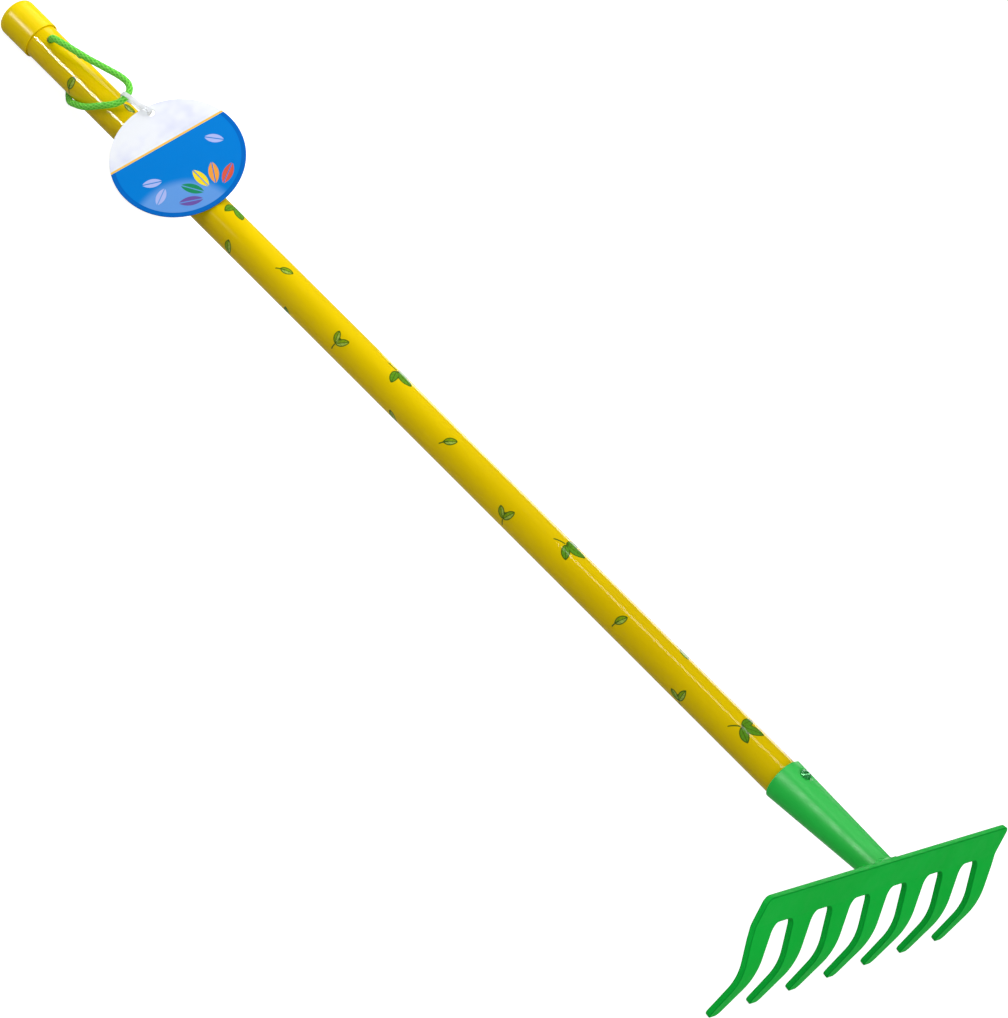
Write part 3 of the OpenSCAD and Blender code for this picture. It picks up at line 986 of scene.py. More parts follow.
@dataclass
class Leaves:
    """Printed leaves spread over a strip of film: each has a middle, a direction, a length and a width."""

    first: float = 21.0
    step: float = 18.4
    count: int = 34
    golden: float = math.radians(137.508)
    start: float = math.radians(52.0)
    plans: tuple[tuple[tuple[float, float, float, float], ...], ...] = (
        ((0.0, 7.4, 12.5, 6.0), (0.95, 5.6, 9.6, 4.6), (-0.95, 5.6, 9.6, 4.6)),
        ((0.0, 1.2, 9.0, 4.8),),
        ((0.55, 4.6, 8.6, 3.9), (-0.65, 4.2, 7.4, 3.6)),
        ((0.0, 1.2, 8.0, 4.2),))
    stems: tuple[float, ...] = (7.0, 6.2, 4.0, 5.6)
    stem_bow: float = 0.03
    stem_reach: float = 2.0
    way_step: float = 0.618034
    way_start: float = 0.13
    rib_start: float = 20.0

    def lay(self, radius: float) -> tuple[Array, Array]:
        """Lays out sprigs of one, two or three leaves on a golden spiral.

        Args:
            radius: the handle's radius.

        Returns:
            Leaf rows (along, turn, direction, length, width, kind) and stem rows (along, turn, direction, length).
        """
        k = np.arange(self.count)
        along, turn = self.first + self.step * k, self.start + self.golden * k
        way = 2 * np.pi * np.modf(self.way_step * k + self.way_start)[0]
        leaves, stems = [], []
        for number, (plan, stem) in enumerate(zip(self.plans, self.stems)):
            pick = k % len(self.plans) == number
            for lean, out, long, wide in plan:
                w = way[pick] + lean
                leaves.append(np.stack([along[pick] + out * np.cos(w), turn[pick] + out * np.sin(w) / radius, w,
                                        *(np.full_like(w, v) for v in (long, wide, number))], axis=-1))
            back = way[pick] + np.pi
            stems.append(np.stack([along[pick], turn[pick], back, np.full_like(back, stem)], axis=-1))
        return np.concatenate(leaves), np.concatenate(stems)

    def print_on(self, along: Array, turn: Array, radius: float) -> dict[str, Array]:
        """Works out where each point lies on the nearest leaf and stem.

        leaf_edge is the signed distance to a leaf's rim, leaf_across and leaf_along are the place on it, stem_across
        and stem_end the place on a stem, all in millimetres; leaf_deep is 1 on the leaves of large sprigs.

        Args:
            along, turn: the points' places on the handle.
            radius: the handle's radius.

        Returns:
            The six numbers for each point.
        """
        leaves, stems = self.lay(radius)
        keys = ("leaf_edge", "leaf_across", "leaf_along", "leaf_deep", "stem_across", "stem_end")
        out = {key: np.full(along.shape, FAR_OFF) for key in keys}

        def local(row: Array) -> tuple[Array, Array]:
            """Finds the points' places on one leaf or stem.

            Args:
                row: the leaf or stem.

            Returns:
                The places along and across it.
            """
            a = along - row[0]
            b = radius * ((turn - row[1] + np.pi) % (2 * np.pi) - np.pi)
            c, s = np.cos(row[2]), np.sin(row[2])
            return a * c + b * s, b * c - a * s

        for row in leaves:
            x, y = local(row)
            keep_nearest(out, "leaf_edge", leaf_rim(x, y, row[3], row[4]), leaf_across=y,
                         leaf_along=x + self.rib_start, leaf_deep=float(row[5] == 0))
        for row in stems:
            x, y = local(row)
            y = y + self.stem_bow * x ** 2
            end = np.maximum(np.abs(x - row[3] / 2) - row[3] / 2, np.abs(y) - self.stem_reach)
            keep_nearest(out, "stem_end", end, stem_across=y)
        return out


@dataclass
class Handle:
    """Wooden dowel in printed shrink film, with a moulded cap on its end."""

    radius: float = HANDLE_R
    film_t: float = 0.3
    grip_len: float = GRIP_LEN
    in_cap: float = 18.0
    in_socket: float = 2.5
    hole_in: float = CORD_HOLE_IN
    hole_d: float = 5.0
    hole_angle: float = math.radians(CORD_HOLE_ANGLE)
    turns: int = 112
    rows: int = 560
    rings: int = 10
    mouth_side: int = 32
    cap_len: float = 26.0
    cap_r: float = 12.1
    cap_round: float = 4.0
    cap_bore: float = 11.05
    cap_end_t: float = 2.5
    rim_round: float = 0.35
    dish_deep: float = 0.35
    hub_r: float = 0.6
    leaves: Leaves = field(default_factory=Leaves)

    def film_map(self, radius: float, tube_rows: int) -> tuple[list[Array], list[Array]]:
        """Unrolled film: two tubes and, round each mouth of the cross hole, rings from a circle to a square.

        Args:
            radius: the radius that the film is wrapped on.
            tube_rows: how many rows the long tube has.

        Returns:
            Tubes and then patches, each a grid of (along, turn).
        """
        full = self.hole_angle - np.pi / 2 + once_round(self.turns)
        cut = 2 * self.hole_in

        def rows(a: Array) -> Array:
            """A tube's grid at the given places along."""
            return np.stack(np.broadcast_arrays(a[:, None], full[None]), axis=-1)

        tubes = [rows(np.linspace(-self.in_cap, 0.0, 8)),
                 rows(np.linspace(cut, self.grip_len + self.in_socket, tube_rows))]
        half, side = self.turns // 2, self.mouth_side
        bottom = np.linspace(-1, 1, half, endpoint=False)
        up = np.linspace(-1, 1, side, endpoint=False)
        square = np.concatenate([np.stack([-np.ones(half), bottom], -1), np.stack([up, np.ones(side)], -1),
                                 np.stack([np.ones(half), -bottom], -1), np.stack([-up, -np.ones(side)], -1)])
        outer = square * np.array([self.hole_in, radius * np.pi / 2])
        ring = unit(square) * self.hole_d / 2
        share = np.linspace(0.0, 1.0, self.rings)[:, None, None] ** 1.4
        flat = ring + (outer - ring) * share
        patches = [np.stack([self.hole_in + flat[..., 0], turn + flat[..., 1] / radius], axis=-1)
                   for turn in (self.hole_angle, self.hole_angle + np.pi)]
        return tubes, patches

    @staticmethod
    def wrap(place: Array, radius: float) -> Array:
        """Rolls (along, turn) onto the handle."""
        return xyz(radius * np.cos(place[..., 1]), -place[..., 0], radius * np.sin(place[..., 1]))

    def film(self) -> Piece:
        """Wraps the printed film: outer and inner wall, joined at both ends and at the hole's mouths.

        Returns:
            The piece.
        """
        shell, places, loops = Shell(), [], []
        for radius, rows in ((self.radius, self.rows), (self.radius - self.film_t, 3)):
            tubes, patches = self.film_map(radius, rows)
            ends = [shell.grid(self.wrap(t, radius), wrap=True) for t in tubes]
            mouths = [shell.grid(self.wrap(p, radius), wrap=True) for p in patches]
            loops.append([ends[0][0], ends[1][-1], mouths[0][0], mouths[1][0]])
            places += [g.reshape(-1, 2) for g in tubes + patches]
        for outer, inner in zip(*loops):
            shell.band(outer, inner)
        place = np.concatenate(places)
        return shell.piece("printed_film", merge=0.002, **self.leaves.print_on(place[:, 0], place[:, 1], self.radius))

    def cap(self) -> Piece:
        """Turns the cap: rounded rim, plain wall, rounded end with a shallow dished middle, and the bore.

        Returns:
            The piece.
        """
        end, r = self.cap_len, self.cap_r
        rim = arc((-self.rim_round, r - self.rim_round), self.rim_round, 0, 90, 5)
        wall = np.stack([np.linspace(-1.0, -(end - self.cap_round), 14), np.full(14, r)], axis=-1)
        round_end = arc((-(end - self.cap_round), r - self.cap_round), self.cap_round, 90, 180, 12)[1:]
        flat_r = np.linspace(r - self.cap_round - 0.6, self.hub_r, 6)
        dish = np.stack([-end + self.dish_deep * ease(flat_r, 5.6, 4.2), flat_r], axis=-1)
        floor_in = -(end - self.cap_end_t)
        outer = np.concatenate([rim, wall, round_end, dish])
        inner = np.array([[floor_in, self.hub_r], [floor_in, self.cap_bore - 0.4], [floor_in + 0.4, self.cap_bore],
                          [-0.3, self.cap_bore], [0.0, self.cap_bore + 0.25]])
        shell = Shell()
        flip = np.array([-1.0, 1.0])
        out_no = shell.grid(lathe(outer * flip, 96), wrap=True)
        in_no = shell.grid(lathe(inner * flip, 96), wrap=True)
        shell.fan(out_no[-1], np.array([0.0, end - self.dish_deep, 0.0]))
        shell.fan(in_no[0], np.array([0.0, -floor_in, 0.0]))
        shell.band(out_no[0], in_no[-1])
        return shell.piece("handle_cap")

    def build(self) -> None:
        """Makes film and cap and finishes the dowel."""
        dress(self.film(), FILM_YELLOW, ROOT, "handle_film")
        dress(self.cap(), CAP_YELLOW, ROOT, "end_cap")
        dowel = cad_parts["handle_dowel"]
        dowel.data.materials.clear()
        dowel.data.materials.append(DOWEL_WOOD.material())


@dataclass
class Head:
    """Bent plate with seven tapered tines, its rolled socket, the weld between them and the screw."""

    plate_t: float = 3.5
    plate_top: float = 12.2
    tines: int = 7
    pitch: float = 42.2
    root_w: float = 19.8
    mid_w: float = 14.9
    tip_w: float = 10.6
    tip_round: float = 4.2
    tip_flat: float = 0.5
    corner_round: float = 4.2
    slot_drop: float = 18.0
    slot_round: float = 5.9
    leans: tuple[float, float, float] = (9.5, 21.3, -6.1)
    runs: tuple[float, float, float] = (17.0, 19.3, 21.5)
    bends: tuple[float, float] = (9.0, 41.0)
    edge_round: float = 0.65
    columns: int = 13
    grip_len: float = GRIP_LEN
    socket_len: float = 75.5
    socket_rise: float = 2.4
    socket_wall: float = 1.2
    rim_r: float = 12.4
    end_r: float = 8.4
    seam_angle: float = math.radians(68.0)
    seam_w: float = 0.6
    seam_lift: float = 0.6
    seam_soft: float = 0.14
    dent_deep: float = 0.5
    dent_ends: tuple[float, float] = (2.6, 4.6)
    screw_in: float = 10.1
    screw_angle: float = math.radians(94.0)
    screw_head_d: float = 6.4
    screw_head_h: float = 2.1
    cross_arm: float = 1.75
    cross_half: float = 0.42
    cross_deep: float = 1.15
    weld_reach: float = 3.4
    weld_rise: float = 4.0
    weld_hollow: float = 0.62

    def bend_runs(self) -> Array:
        """Lengths of the front face's two bends: the turn in radians times the radius."""
        return np.abs(np.diff(np.radians(self.leans))) * np.array(self.bends)

    def profile(self, s: Array) -> tuple[Array, Array, Array]:
        """The front face's line by length from the top: the lean is constant on straights and even in bends.

        Args:
            s: lengths from the top edge.

        Returns:
            Distance along the handle, height and lean in radians.
        """
        lean = np.radians(self.leans)
        turns = self.bend_runs()
        knots = np.cumsum([self.runs[0], turns[0], self.runs[1], turns[1]])
        table = np.linspace(-4.0, knots[-1] + self.runs[2] + 4.0, 4000)
        p = np.interp(table, knots, [lean[0], lean[1], lean[1], lean[2]])
        step = np.diff(table)
        a = np.concatenate([[0.0], np.cumsum(step * np.sin((p[1:] + p[:-1]) / 2))])
        n = np.concatenate([[0.0], np.cumsum(step * np.cos((p[1:] + p[:-1]) / 2))])
        a0, n0 = np.interp(0.0, table, a), np.interp(0.0, table, n)
        top_a = self.grip_len + self.socket_len + self.plate_t * math.cos(lean[0])
        top_n = self.plate_top + self.plate_t * math.sin(lean[0])
        return top_a + np.interp(s, table, a) - a0, top_n - (np.interp(s, table, n) - n0), np.interp(s, table, p)

    def length(self) -> float:
        """Length of the front face's line from top edge to tip."""
        return float(sum(self.runs) + self.bend_runs().sum())

    def height(self, s: float) -> float:
        """Height of the front face at a length from the top."""
        return float(self.profile(np.array(s))[1])

    def length_at(self, n: Array) -> Array:
        """Length from the top at which the front face is at a height."""
        s = np.linspace(-4.0, self.length() + 4.0, 3000)
        return np.interp(-np.asarray(n), -self.profile(s)[1], s)

    def comb(self, inset: float) -> tuple[Array, Array]:
        """The sheet's outline drawn in by an inset, as a grid for the band and one for the tines.

        Rows run down the sheet and columns across it. Corners, gap tops and tips follow arcs whose radius
        changes with the inset, so that any two insets match point by point.

        Args:
            inset: how far the outline is drawn in.

        Returns:
            Band (row, column) and tines (tine, row, column), each point being (across, length from the top).
        """
        half_gap = (self.pitch - self.root_w) / 2
        reach = half_gap - self.slot_round
        slot_low = self.plate_top - self.slot_drop - self.slot_round
        wide = self.pitch / 2 - reach
        f = np.linspace(-1.0, 1.0, self.columns)
        mid = (np.arange(self.tines) - (self.tines - 1) / 2) * self.pitch
        plain = self.root_w / 2 - inset
        corner = self.corner_round - inset
        turn = np.linspace(0.0, np.pi / 2, 8)
        top_s = inset + corner * (1.0 - np.cos(turn))
        slot_s = float(self.length_at(slot_low + self.slot_round + inset))
        band_s = np.concatenate([top_s, np.linspace(top_s[-1], slot_s, 9)[1:]])
        outer = np.concatenate([plain - corner + corner * np.sin(turn), np.full(8, plain)])

        def across(inner: Array, outside: Array) -> Array:
            """Tine columns for each row, with the outer sides of the end tines on their own line.

            Args:
                inner: half widths by row.
                outside: half widths on the outer sides of the end tines.

            Returns:
                Places across by tine, row and column.
            """
            left = np.repeat(inner[None], self.tines, axis=0)
            right = left.copy()
            left[0], right[-1] = outside, outside
            half = np.where(f[None, None] < 0, left[..., None], right[..., None])
            return mid[:, None, None] + half * f

        band_x = across(np.full(len(band_s), wide), outer)
        fill = np.array([1.0, 2.0]) / 3.0
        gaps = band_x[:-1, :, -1:] + (band_x[1:, :, :1] - band_x[:-1, :, -1:]) * fill
        blocks = [np.concatenate([band_x[i], gaps[i]], axis=1) for i in range(self.tines - 1)] + [band_x[-1]]
        x = np.concatenate(blocks, axis=1)
        band = np.stack([x, np.broadcast_to(band_s[:, None], x.shape)], axis=-1)

        arc_turn = np.linspace(0.0, np.pi / 2, 11)[1:]
        arc_r = self.slot_round + inset
        arc_n = slot_low + arc_r * np.cos(arc_turn)
        arc_h = self.pitch / 2 - reach - arc_r * np.sin(arc_turn)
        end_n = self.height(self.length())
        tip_n = end_n - self.tip_flat + self.tip_round
        mid_n = self.height(self.length() - self.runs[2] - self.bend_runs()[1] / 2)
        side_s = np.linspace(float(self.length_at(slot_low)), float(self.length_at(tip_n)), 30)[1:]
        side_n = self.profile(side_s)[1]
        side_h = np.interp(side_n, [tip_n, mid_n, slot_low], [self.tip_w / 2, self.mid_w / 2, self.root_w / 2]) - inset
        tip_r = self.tip_round - inset
        tip_turn = np.linspace(0.0, math.asin(min(1.0, (tip_n - end_n - inset) / tip_r)), 8)[1:]
        round_n = tip_n - tip_r * np.sin(tip_turn)
        round_h = self.tip_w / 2 - self.tip_round + tip_r * np.cos(tip_turn)
        rows_n = np.concatenate([arc_n, side_n, round_n])
        inner = np.concatenate([arc_h, side_h, round_h])
        outside = np.concatenate([np.full(len(arc_h), plain), side_h, round_h])
        tine_x = across(inner, outside)
        tine_s = np.broadcast_to(self.length_at(rows_n)[None, :, None], tine_x.shape)
        return band, np.stack([tine_x, tine_s], axis=-1)

    def on_sheet(self, place: Array, depth: float) -> Array:
        """Puts (across, length) points on the bent sheet, at a depth behind its front face."""
        a, n, lean = self.profile(place[..., 1])
        return xyz(place[..., 0], -(a - depth * np.cos(lean)), n - depth * np.sin(lean))

    def plate(self) -> Piece:
        """Builds the plate: front and back grids and, round the outline, a rounded edge carried along it.

        Returns:
            The piece.
        """
        r, t, cols = self.edge_round, self.plate_t, self.columns
        shell, edge = Shell(), []

        def face(depth: float) -> tuple[Array, Array]:
            """Adds the grids of one face.

            Args:
                depth: how far it is behind the front.

            Returns:
                The numbers of band and tines.
            """
            band, tines = self.comb(r)
            band_no = shell.grid(self.on_sheet(band, depth))
            tine_no = shell.add(self.on_sheet(tines, depth))
            for i in range(self.tines):
                start = i * (cols + 2)
                shell.join(np.concatenate([band_no[-1:, start:start + cols], tine_no[i]]))
            edge.append(np.zeros(band_no.size + tine_no.size))
            return band_no, tine_no

        def around(band: Array, tines: Array) -> Array:
            """Walks the outline of band and tines once, as one closed loop of whatever the grids hold.

            Args:
                band, tines: grids of points or of their numbers.

            Returns:
                The loop.
            """
            loop = [band[0], band[1:, -1]]
            for i in range(self.tines - 1, -1, -1):
                loop += [tines[i, :, -1], tines[i, -1, -2::-1], tines[i, -2::-1, 0]]
                start = i * (cols + 2)
                if i:
                    loop.append(band[-1, start:start - 4:-1])
                else:
                    loop.append(band[-1:0:-1, 0])
            return np.concatenate(loop)

        front, back = face(0.0), face(t)
        turn = np.linspace(0.0, np.pi / 2, 5)
        steps = [(r * (1 - math.sin(p)), r * (1 - math.cos(p))) for p in turn[1:]]
        steps += [(inset, t - depth) for inset, depth in reversed(steps)]
        # How much painted shade each step round the edge gets, darkest at the middle of each round.
        dark = [0.75, 1.0, 0.75, 0.1, 0.1, 0.75, 1.0, 0.75]
        last = around(*front)
        for (inset, depth), line in zip(steps, dark):
            loop = shell.add(self.on_sheet(around(*self.comb(inset)), depth))
            edge.append(np.full(loop.size, line))
            shell.band(last, loop)
            last = loop
        shell.band(last, around(*back))
        return keep_flats(shell.piece("rake_head", edge=np.concatenate(edge)))

    def in_socket(self, x: Array, y: Array, z: Array) -> Array:
        """Places points given about the socket's own tilted line, z running from its rim to the plate.

        Args:
            x, y, z: places across, up and along that line.

        Returns:
            The points in the tool's frame.
        """
        tilt = math.asin(self.socket_rise / self.socket_len)
        c, s = math.cos(tilt), math.sin(tilt)
        return xyz(x, -self.grip_len + s * y - c * z, c * y + s * z)

    def outer_r(self, z: Array) -> Array:
        """The socket's outer radius at a distance from its rim."""
        return self.rim_r - (self.rim_r - self.end_r) / self.socket_len * z

    def plate_z(self, turn: Array, radius: Array) -> Array:
        """Distance from the rim at which a line beside the socket meets the plate's back face.

        Args:
            turn, radius: the line's place round the socket.

        Returns:
            The distances.
        """
        s = np.linspace(0.0, 45.0, 400)
        a, n, lean = self.profile(s)
        back_a, back_n = a - self.plate_t * np.cos(lean), n - self.plate_t * np.sin(lean)
        height = self.socket_rise + radius * np.sin(turn)
        return np.interp(-height, -back_n, back_a) - self.grip_len

    def dent(self, turn: Array, z: Array) -> Array:
        """Depth of the shallow seat that the screw's head is pulled into.

        Args:
            turn, z: places on the socket.

        Returns:
            The depths.
        """
        side = (turn - self.screw_angle + np.pi) % (2 * np.pi) - np.pi
        far = np.hypot(side * self.rim_r, z - self.screw_in)
        return self.dent_deep * (1.0 - ease(far, *self.dent_ends))

    def socket(self) -> Piece:
        """Rolls the socket: a wall section with a rounded rim, carried round from seam edge to seam edge.

        The radius falls evenly from rim to plate, springs outwards a little at both edges of the seam and is
        pulled in under the screw.

        Returns:
            The piece.
        """
        gap = self.seam_w / 2 / self.rim_r
        turn = np.linspace(self.seam_angle + gap, self.seam_angle + 2 * np.pi - gap, 170)[None]
        w, rows = self.socket_wall, 70
        stop = self.plate_z(turn, np.full_like(turn, self.end_r)) + 0.9
        z = w / 2 + np.linspace(1.0, 0.0, rows)[:, None] * (stop - w / 2)
        off = np.minimum(turn - self.seam_angle, self.seam_angle + 2 * np.pi - turn)
        spring = self.seam_lift * np.exp(-(off / self.seam_soft) ** 2)
        lip = np.radians(np.linspace(0.0, 180.0, 9))[1:-1, None]
        lip_z = w / 2 - w / 2 * np.sin(lip) + 0 * turn
        lip_r = self.outer_r(w / 2) - w / 2 + w / 2 * np.cos(lip) + spring
        outer = self.outer_r(z) + spring - self.dent(turn, z)
        inner = self.outer_r(z[::-1]) + spring - w
        z, r = np.concatenate([z, lip_z, z[::-1]]), np.concatenate([outer, lip_r, inner])
        grid = np.moveaxis(self.in_socket(r * np.cos(turn), r * np.sin(turn), z), 0, 1)
        shell = Shell()
        numbers = shell.grid(grid)
        for side in (numbers[0], numbers[-1]):
            half = len(side) // 2
            pair = np.stack([side[:half], side[::-1][:half]])
            shell.join(pair)
            shell.faces.append(np.array([[pair[0, -1], side[half], pair[1, -1]]]))
        shell.join(numbers[:, [0, -1]].T)
        # Painted shade: a darker colour on the seam's edges and on the rim's lip.
        edge = np.zeros(grid.shape[:2])
        edge[[0, -1]], edge[[1, -2]] = 1.0, 0.3
        edge[:, rows:rows + 3] = np.maximum(edge[:, rows:rows + 3], 0.3)
        return keep_flats(shell.piece("rolled_socket", edge=edge.ravel()))

    def weld(self) -> Piece:
        """Lays the weld: a slightly hollow fillet with ripples, carried once round the socket's end.

        Returns:
            The piece.
        """
        turn = once_round(180)[:, None]
        ripple = 1.0 + 0.05 * np.sin(26 * turn) + 0.03 * np.sin(41 * turn + 1.0)
        room = (self.plate_top - 0.25 - self.socket_rise) / np.maximum(np.sin(turn), 0.05)
        far = np.minimum(self.end_r + self.weld_reach * ripple, np.where(np.sin(turn) > 0.05, room, 99.0))
        foot = self.plate_z(turn, far)
        reach = np.clip((far - self.end_r) / self.weld_reach, 0.25, 1.1)
        head = self.plate_z(turn, np.full_like(turn, self.end_r)) - self.weld_rise * reach
        top_r = self.outer_r(head)
        corner_r = top_r * 0.35 + self.end_r * 0.65
        v = np.linspace(0.0, 1.0, 12)[None]
        a, b, c = (1 - v) ** 2, 2 * v * (1 - v), v ** 2
        hollow, flat = self.weld_hollow, 1.0 - self.weld_hollow
        mid_r = hollow * corner_r + flat * (top_r + far) / 2
        mid_z = hollow * foot + flat * (head + foot) / 2
        r = a * top_r + b * mid_r + c * far
        z = a * head + b * mid_z + c * foot
        r = np.concatenate([top_r - 0.5, r, far - 0.4, np.full_like(far, self.end_r - 0.6)], axis=1)
        z = np.concatenate([head + 0.3, z, foot + 0.7, foot + 0.7], axis=1)
        grid = self.in_socket(r * np.cos(turn), r * np.sin(turn), z)
        shell = Shell()
        shell.ring(np.moveaxis(grid, 0, 1))
        return shell.piece("weld_fillet", edge=np.zeros(grid.shape[0] * grid.shape[1]))

    def screw(self) -> Piece:
        """Turns the screw's domed head and sinks a cross into it: the depth falls off at the cross's sides.

        Returns:
            The piece.
        """
        seat = self.outer_r(np.array(self.screw_in)) - 0.45
        big, high = self.screw_head_d / 2, self.screw_head_h
        turn = once_round(96)[None]
        r = big * np.append(np.linspace(0.06, 0.86, 34), 0.94)[:, None]
        dome = high * (1.0 - 0.5 * (r / big) ** 2.4)
        x, y = r * np.cos(turn), r * np.sin(turn)
        arms = [np.maximum(np.abs(a) - self.cross_arm, np.abs(b) - self.cross_half) for a, b in ((x, y), (y, x))]
        top = dome - self.cross_deep * (1.0 - ease(np.minimum(*arms), -0.08, 0.14))
        skirt = np.array([[1.0, 0.36], [1.0, 0.0], [0.98, -0.6], [0.3, -0.62]])
        skirt_r, skirt_z = skirt[:, :1] * big + 0 * turn, skirt[:, 1:] + 0 * turn
        grid_r, grid_z = np.concatenate([r + 0 * turn, skirt_r]), seat + np.concatenate([top, skirt_z])
        u, v = grid_r * np.cos(turn), grid_r * np.sin(turn)
        c, s = math.cos(self.screw_angle), math.sin(self.screw_angle)
        pts = self.in_socket(grid_z * c - u * s, grid_z * s + u * c, self.screw_in + v)
        shell = Shell()
        shell.rod(pts, pts[0].mean(axis=0), pts[-1].mean(axis=0))
        return shell.piece("screw_head")

    def build(self) -> None:
        """Makes plate, socket, weld and screw."""
        for made, finish, node in ((self.plate(), HEAD_GREEN, "rake_plate"), (self.socket(), SOCKET_GREEN_LIGHTENED, "socket"),
                                   (self.weld(), SOCKET_GREEN_LIGHTENED, "weld_bead"),
                                   (self.screw(), SCREW_GREEN, "socket_screw")):
            dress(made, finish, ROOT, node)


@dataclass
class Tag:
    """Round card tag hung on the cord by a clear strap."""

    handle_r: float = HANDLE_R
    tag_d: float = 80.0
    tag_t: float = 0.8
    tag_in: float = 124.0
    tag_rise: float = 4.6
    tag_angle: float = math.radians(137.6)
    tag_gap: float = 0.35
    hole_d: float = 4.6
    hole_in: float = 5.0
    hole_turn: float = math.radians(13.0)
    strap_w: float = 2.8
    strap_t: float = 0.5
    strap_gap: float = 0.5
    cord_r: float = CORD_D / 2
    strap_from: int = 22
    strap_part: float = 0.65
    neck_in: float = 1.55
    neck_from: float = 0.27
    line_ends: tuple[tuple[float, float], tuple[float, float]] = ((-35.7, -17.1), (39.6, -5.8))
    hill_at: tuple[float, float] = (-26.0, 40.0)
    hill_r: float = 34.0
    fan_at: tuple[float, float] = (1.0, 36.0)
    fan_r: float = 16.0
    fan_turns: tuple[float, ...] = (-60.0, -30.0, 0.0, 30.0, 60.0)
    fan_leaf: tuple[float, float] = (15.0, 6.0)
    loose: tuple[tuple[float, float, float], ...] = ((-22.0, 3.5, 0.5), (-24.0, 14.0, -0.5), (24.0, 4.5, 0.9))
    loose_leaf: tuple[float, float] = (12.0, 5.6)

    def axes(self) -> tuple[Array, Array, Array, Array, Array]:
        """Finds how the tag lies.

        Returns:
            Directions along, up and out, the tag's middle and its hole's middle.
        """
        along = TO_HEAD
        up = np.array([math.sin(self.tag_angle), 0.0, -math.cos(self.tag_angle)])
        out = np.array([math.cos(self.tag_angle), 0.0, math.sin(self.tag_angle)])
        middle = (self.handle_r + self.tag_gap + self.tag_t / 2) * out + self.tag_rise * up + self.tag_in * along
        far = self.tag_d / 2 - self.hole_in
        hole = middle + far * (math.sin(self.hole_turn) * up - math.cos(self.hole_turn) * along)
        return along, up, out, middle, hole

    def disc(self) -> Piece:
        """Cuts the tag: circles that go from the hole's to the rim's, on both faces, with a soft edge.

        Returns:
            The piece.
        """
        along, up, out, middle, hole = self.axes()
        spot = np.array([(hole - middle) @ up, (hole - middle) @ along])
        turn = once_round(288)[None]
        t, soft = self.tag_t / 2, 0.25
        k = np.linspace(0.0, 1.0, 72)[:, None]
        small, large = self.hole_d / 2, self.tag_d / 2
        ring = (small + soft) + (large - small - 2 * soft) * k
        height = np.full_like(ring, t)
        rim_turn = np.linspace(np.pi / 2, -np.pi / 2, 9)[1:-1, None]
        in_turn = np.linspace(-np.pi / 2, np.pi / 2, 7)[1:-1, None]
        rim_r, in_r = large - soft + soft * np.cos(rim_turn), small + soft - soft * np.cos(in_turn)
        rim_h, in_h = ((t - soft) * np.sign(np.sin(a)) + soft * np.sin(a) for a in (rim_turn, in_turn))
        share = np.concatenate([k, np.ones_like(rim_r), k[::-1], np.zeros_like(in_r)])
        r = np.concatenate([ring, rim_r, ring[::-1], in_r])
        h = np.concatenate([height, rim_h, -height, in_h])
        u = (1 - share) * spot[0] + r * np.cos(turn)
        e = (1 - share) * spot[1] + r * np.sin(turn)
        pts = middle + u[..., None] * up + e[..., None] * along + (h + 0 * turn)[..., None] * out
        shell = Shell()
        shell.ring(pts)
        return shell.piece("tag_card", **self.fields(u.ravel(), e.ravel()))

    def fields(self, u: Array, e: Array) -> dict[str, Array]:
        """Signed distances in millimetres to the tag's plain fields, for each point.

        Args:
            u, e: places up the tag and along it.

        Returns:
            field_line, rim_in, hill, leaf_edge and leaf_across, and petal, the number of the nearest leaf's colour.
        """
        a, b = np.array(self.line_ends)
        way = unit(b - a)
        line = (e - a[1]) * way[0] - (u - a[0]) * way[1]
        rim = self.tag_d / 2 - np.hypot(u, e)
        hill = np.hypot(u - self.hill_at[0], e - self.hill_at[1]) - self.hill_r
        out = {"field_line": line, "rim_in": rim, "hill": hill}
        out.update({key: np.full(u.shape, FAR_OFF) for key in ("leaf_edge", "leaf_across", "petal")})
        fan_u, fan_e = self.fan_at
        plan = [(fan_u + self.fan_r * math.sin(turn), fan_e - self.fan_r * math.cos(turn), turn - math.pi / 2,
                 *self.fan_leaf, kind) for kind, turn in enumerate(np.radians(self.fan_turns))]
        plan += [(*place, *self.loose_leaf, len(self.fan_turns)) for place in self.loose]
        for du, de, lean, long, wide, kind in plan:
            c, s = math.cos(lean), math.sin(lean)
            x, y = (u - du) * c + (e - de) * s, (e - de) * c - (u - du) * s
            keep_nearest(out, "leaf_edge", leaf_rim(x, y, long, wide), leaf_across=y,
                         petal=(kind + 0.5) / len(TAG_CARD.petals))
        return out

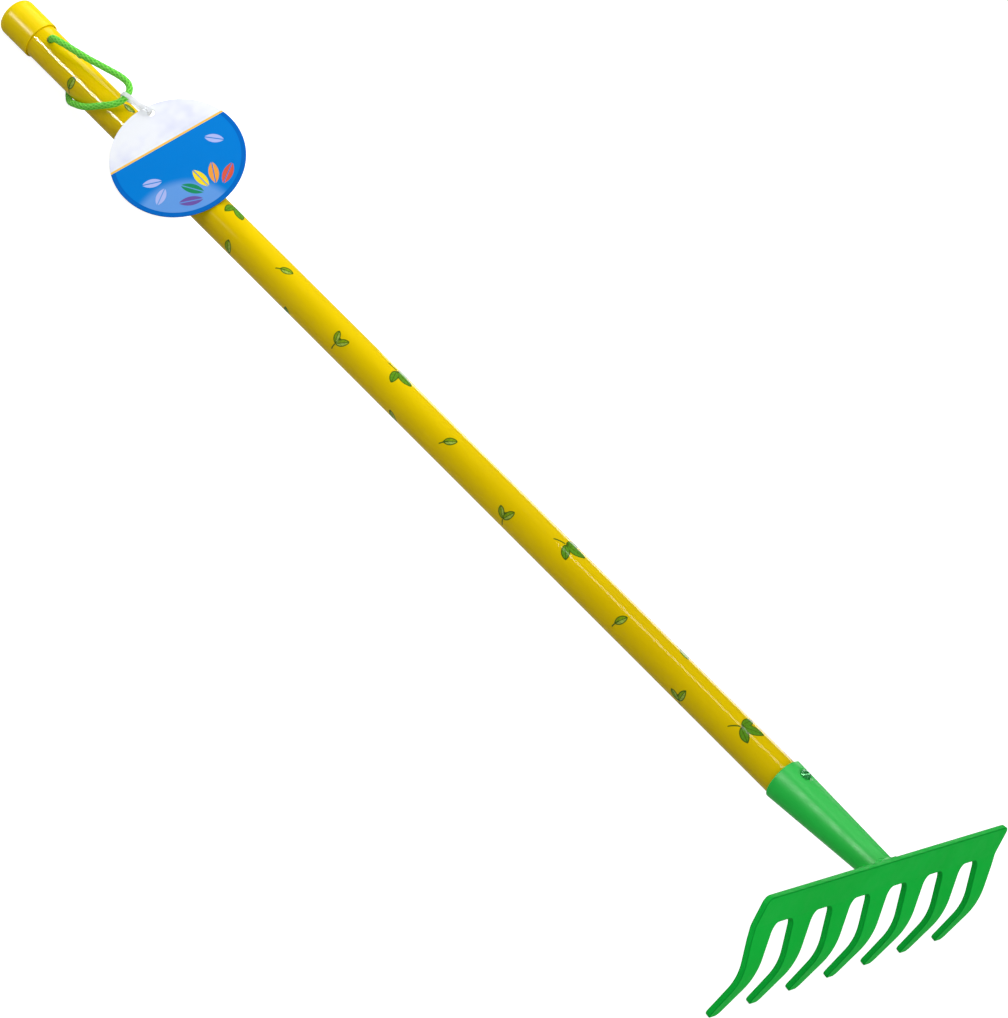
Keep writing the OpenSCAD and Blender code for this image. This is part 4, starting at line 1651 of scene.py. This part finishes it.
    def strap(self, cord: HangCord) -> Piece:
        """Bends the strap: a flat section carried round a long loop that necks in between card and cord.

        Args:
            cord: the cord that it hangs on.

        Returns:
            The piece.
        """
        hole = self.axes()[4]
        line = cord.points(cord.route)
        one, two = line[self.strap_from], line[self.strap_from + 1]
        start = one + (two - one) * self.strap_part
        x = unit(hole - start)
        y = unit((two - one) - ((two - one) @ x) * x)
        z = np.cross(x, y)
        r = self.cord_r + self.strap_gap + self.strap_t / 2
        reach = float((hole - start) @ x) - r
        half = np.radians(np.linspace(-90.0, 90.0, 25))
        run = np.linspace(0.0, 1.0, 22)[1:-1]
        bow = np.clip((run - self.neck_from) / (1.0 - self.neck_from), 0.0, 1.0)
        neck = r - self.neck_in * np.sin(np.pi * bow) ** 1.4
        path = np.concatenate([
            np.stack([reach + r * np.cos(half), r * np.sin(half)], -1),
            np.stack([reach * (1 - run), neck], -1),
            np.stack([-r * np.cos(half), -r * np.sin(half)], -1),
            np.stack([reach * run, -neck], -1)])
        way = unit(np.roll(path, -1, axis=0) - np.roll(path, 1, axis=0))
        normal = np.stack([way[:, 1], -way[:, 0]], axis=-1)
        t, w, c = self.strap_t / 2, self.strap_w / 2, 0.12
        upper = np.array([[t, w - c], [t - c, w], [c - t, w], [-t, w - c]])
        section = np.concatenate([upper, -upper])
        flat = path[:, None] + section[None, :, :1] * normal[:, None]
        pts = start + flat[..., :1] * x + section[None, :, 1:] * y + flat[..., 1:] * z
        shell = Shell()
        shell.ring(pts)
        return keep_flats(shell.piece("tag_strap_loop"))

    def build(self, cord: HangCord) -> None:
        """Makes the tag and its strap."""
        dress(self.disc(), TAG_CARD, "tag", "tag_disc")
        dress(self.strap(cord), STRAP_CLEAR, "strap", "tag_strap")


def main() -> None:
    """Builds the scene."""
    logging.basicConfig(level=logging.INFO, format="%(name)s: %(message)s")
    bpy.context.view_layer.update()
    cord = HangCord()
    Studio().build()
    cord.build()
    Handle().build()
    Head().build()
    Tag().build(cord)


if __name__ == "__main__":
    main()
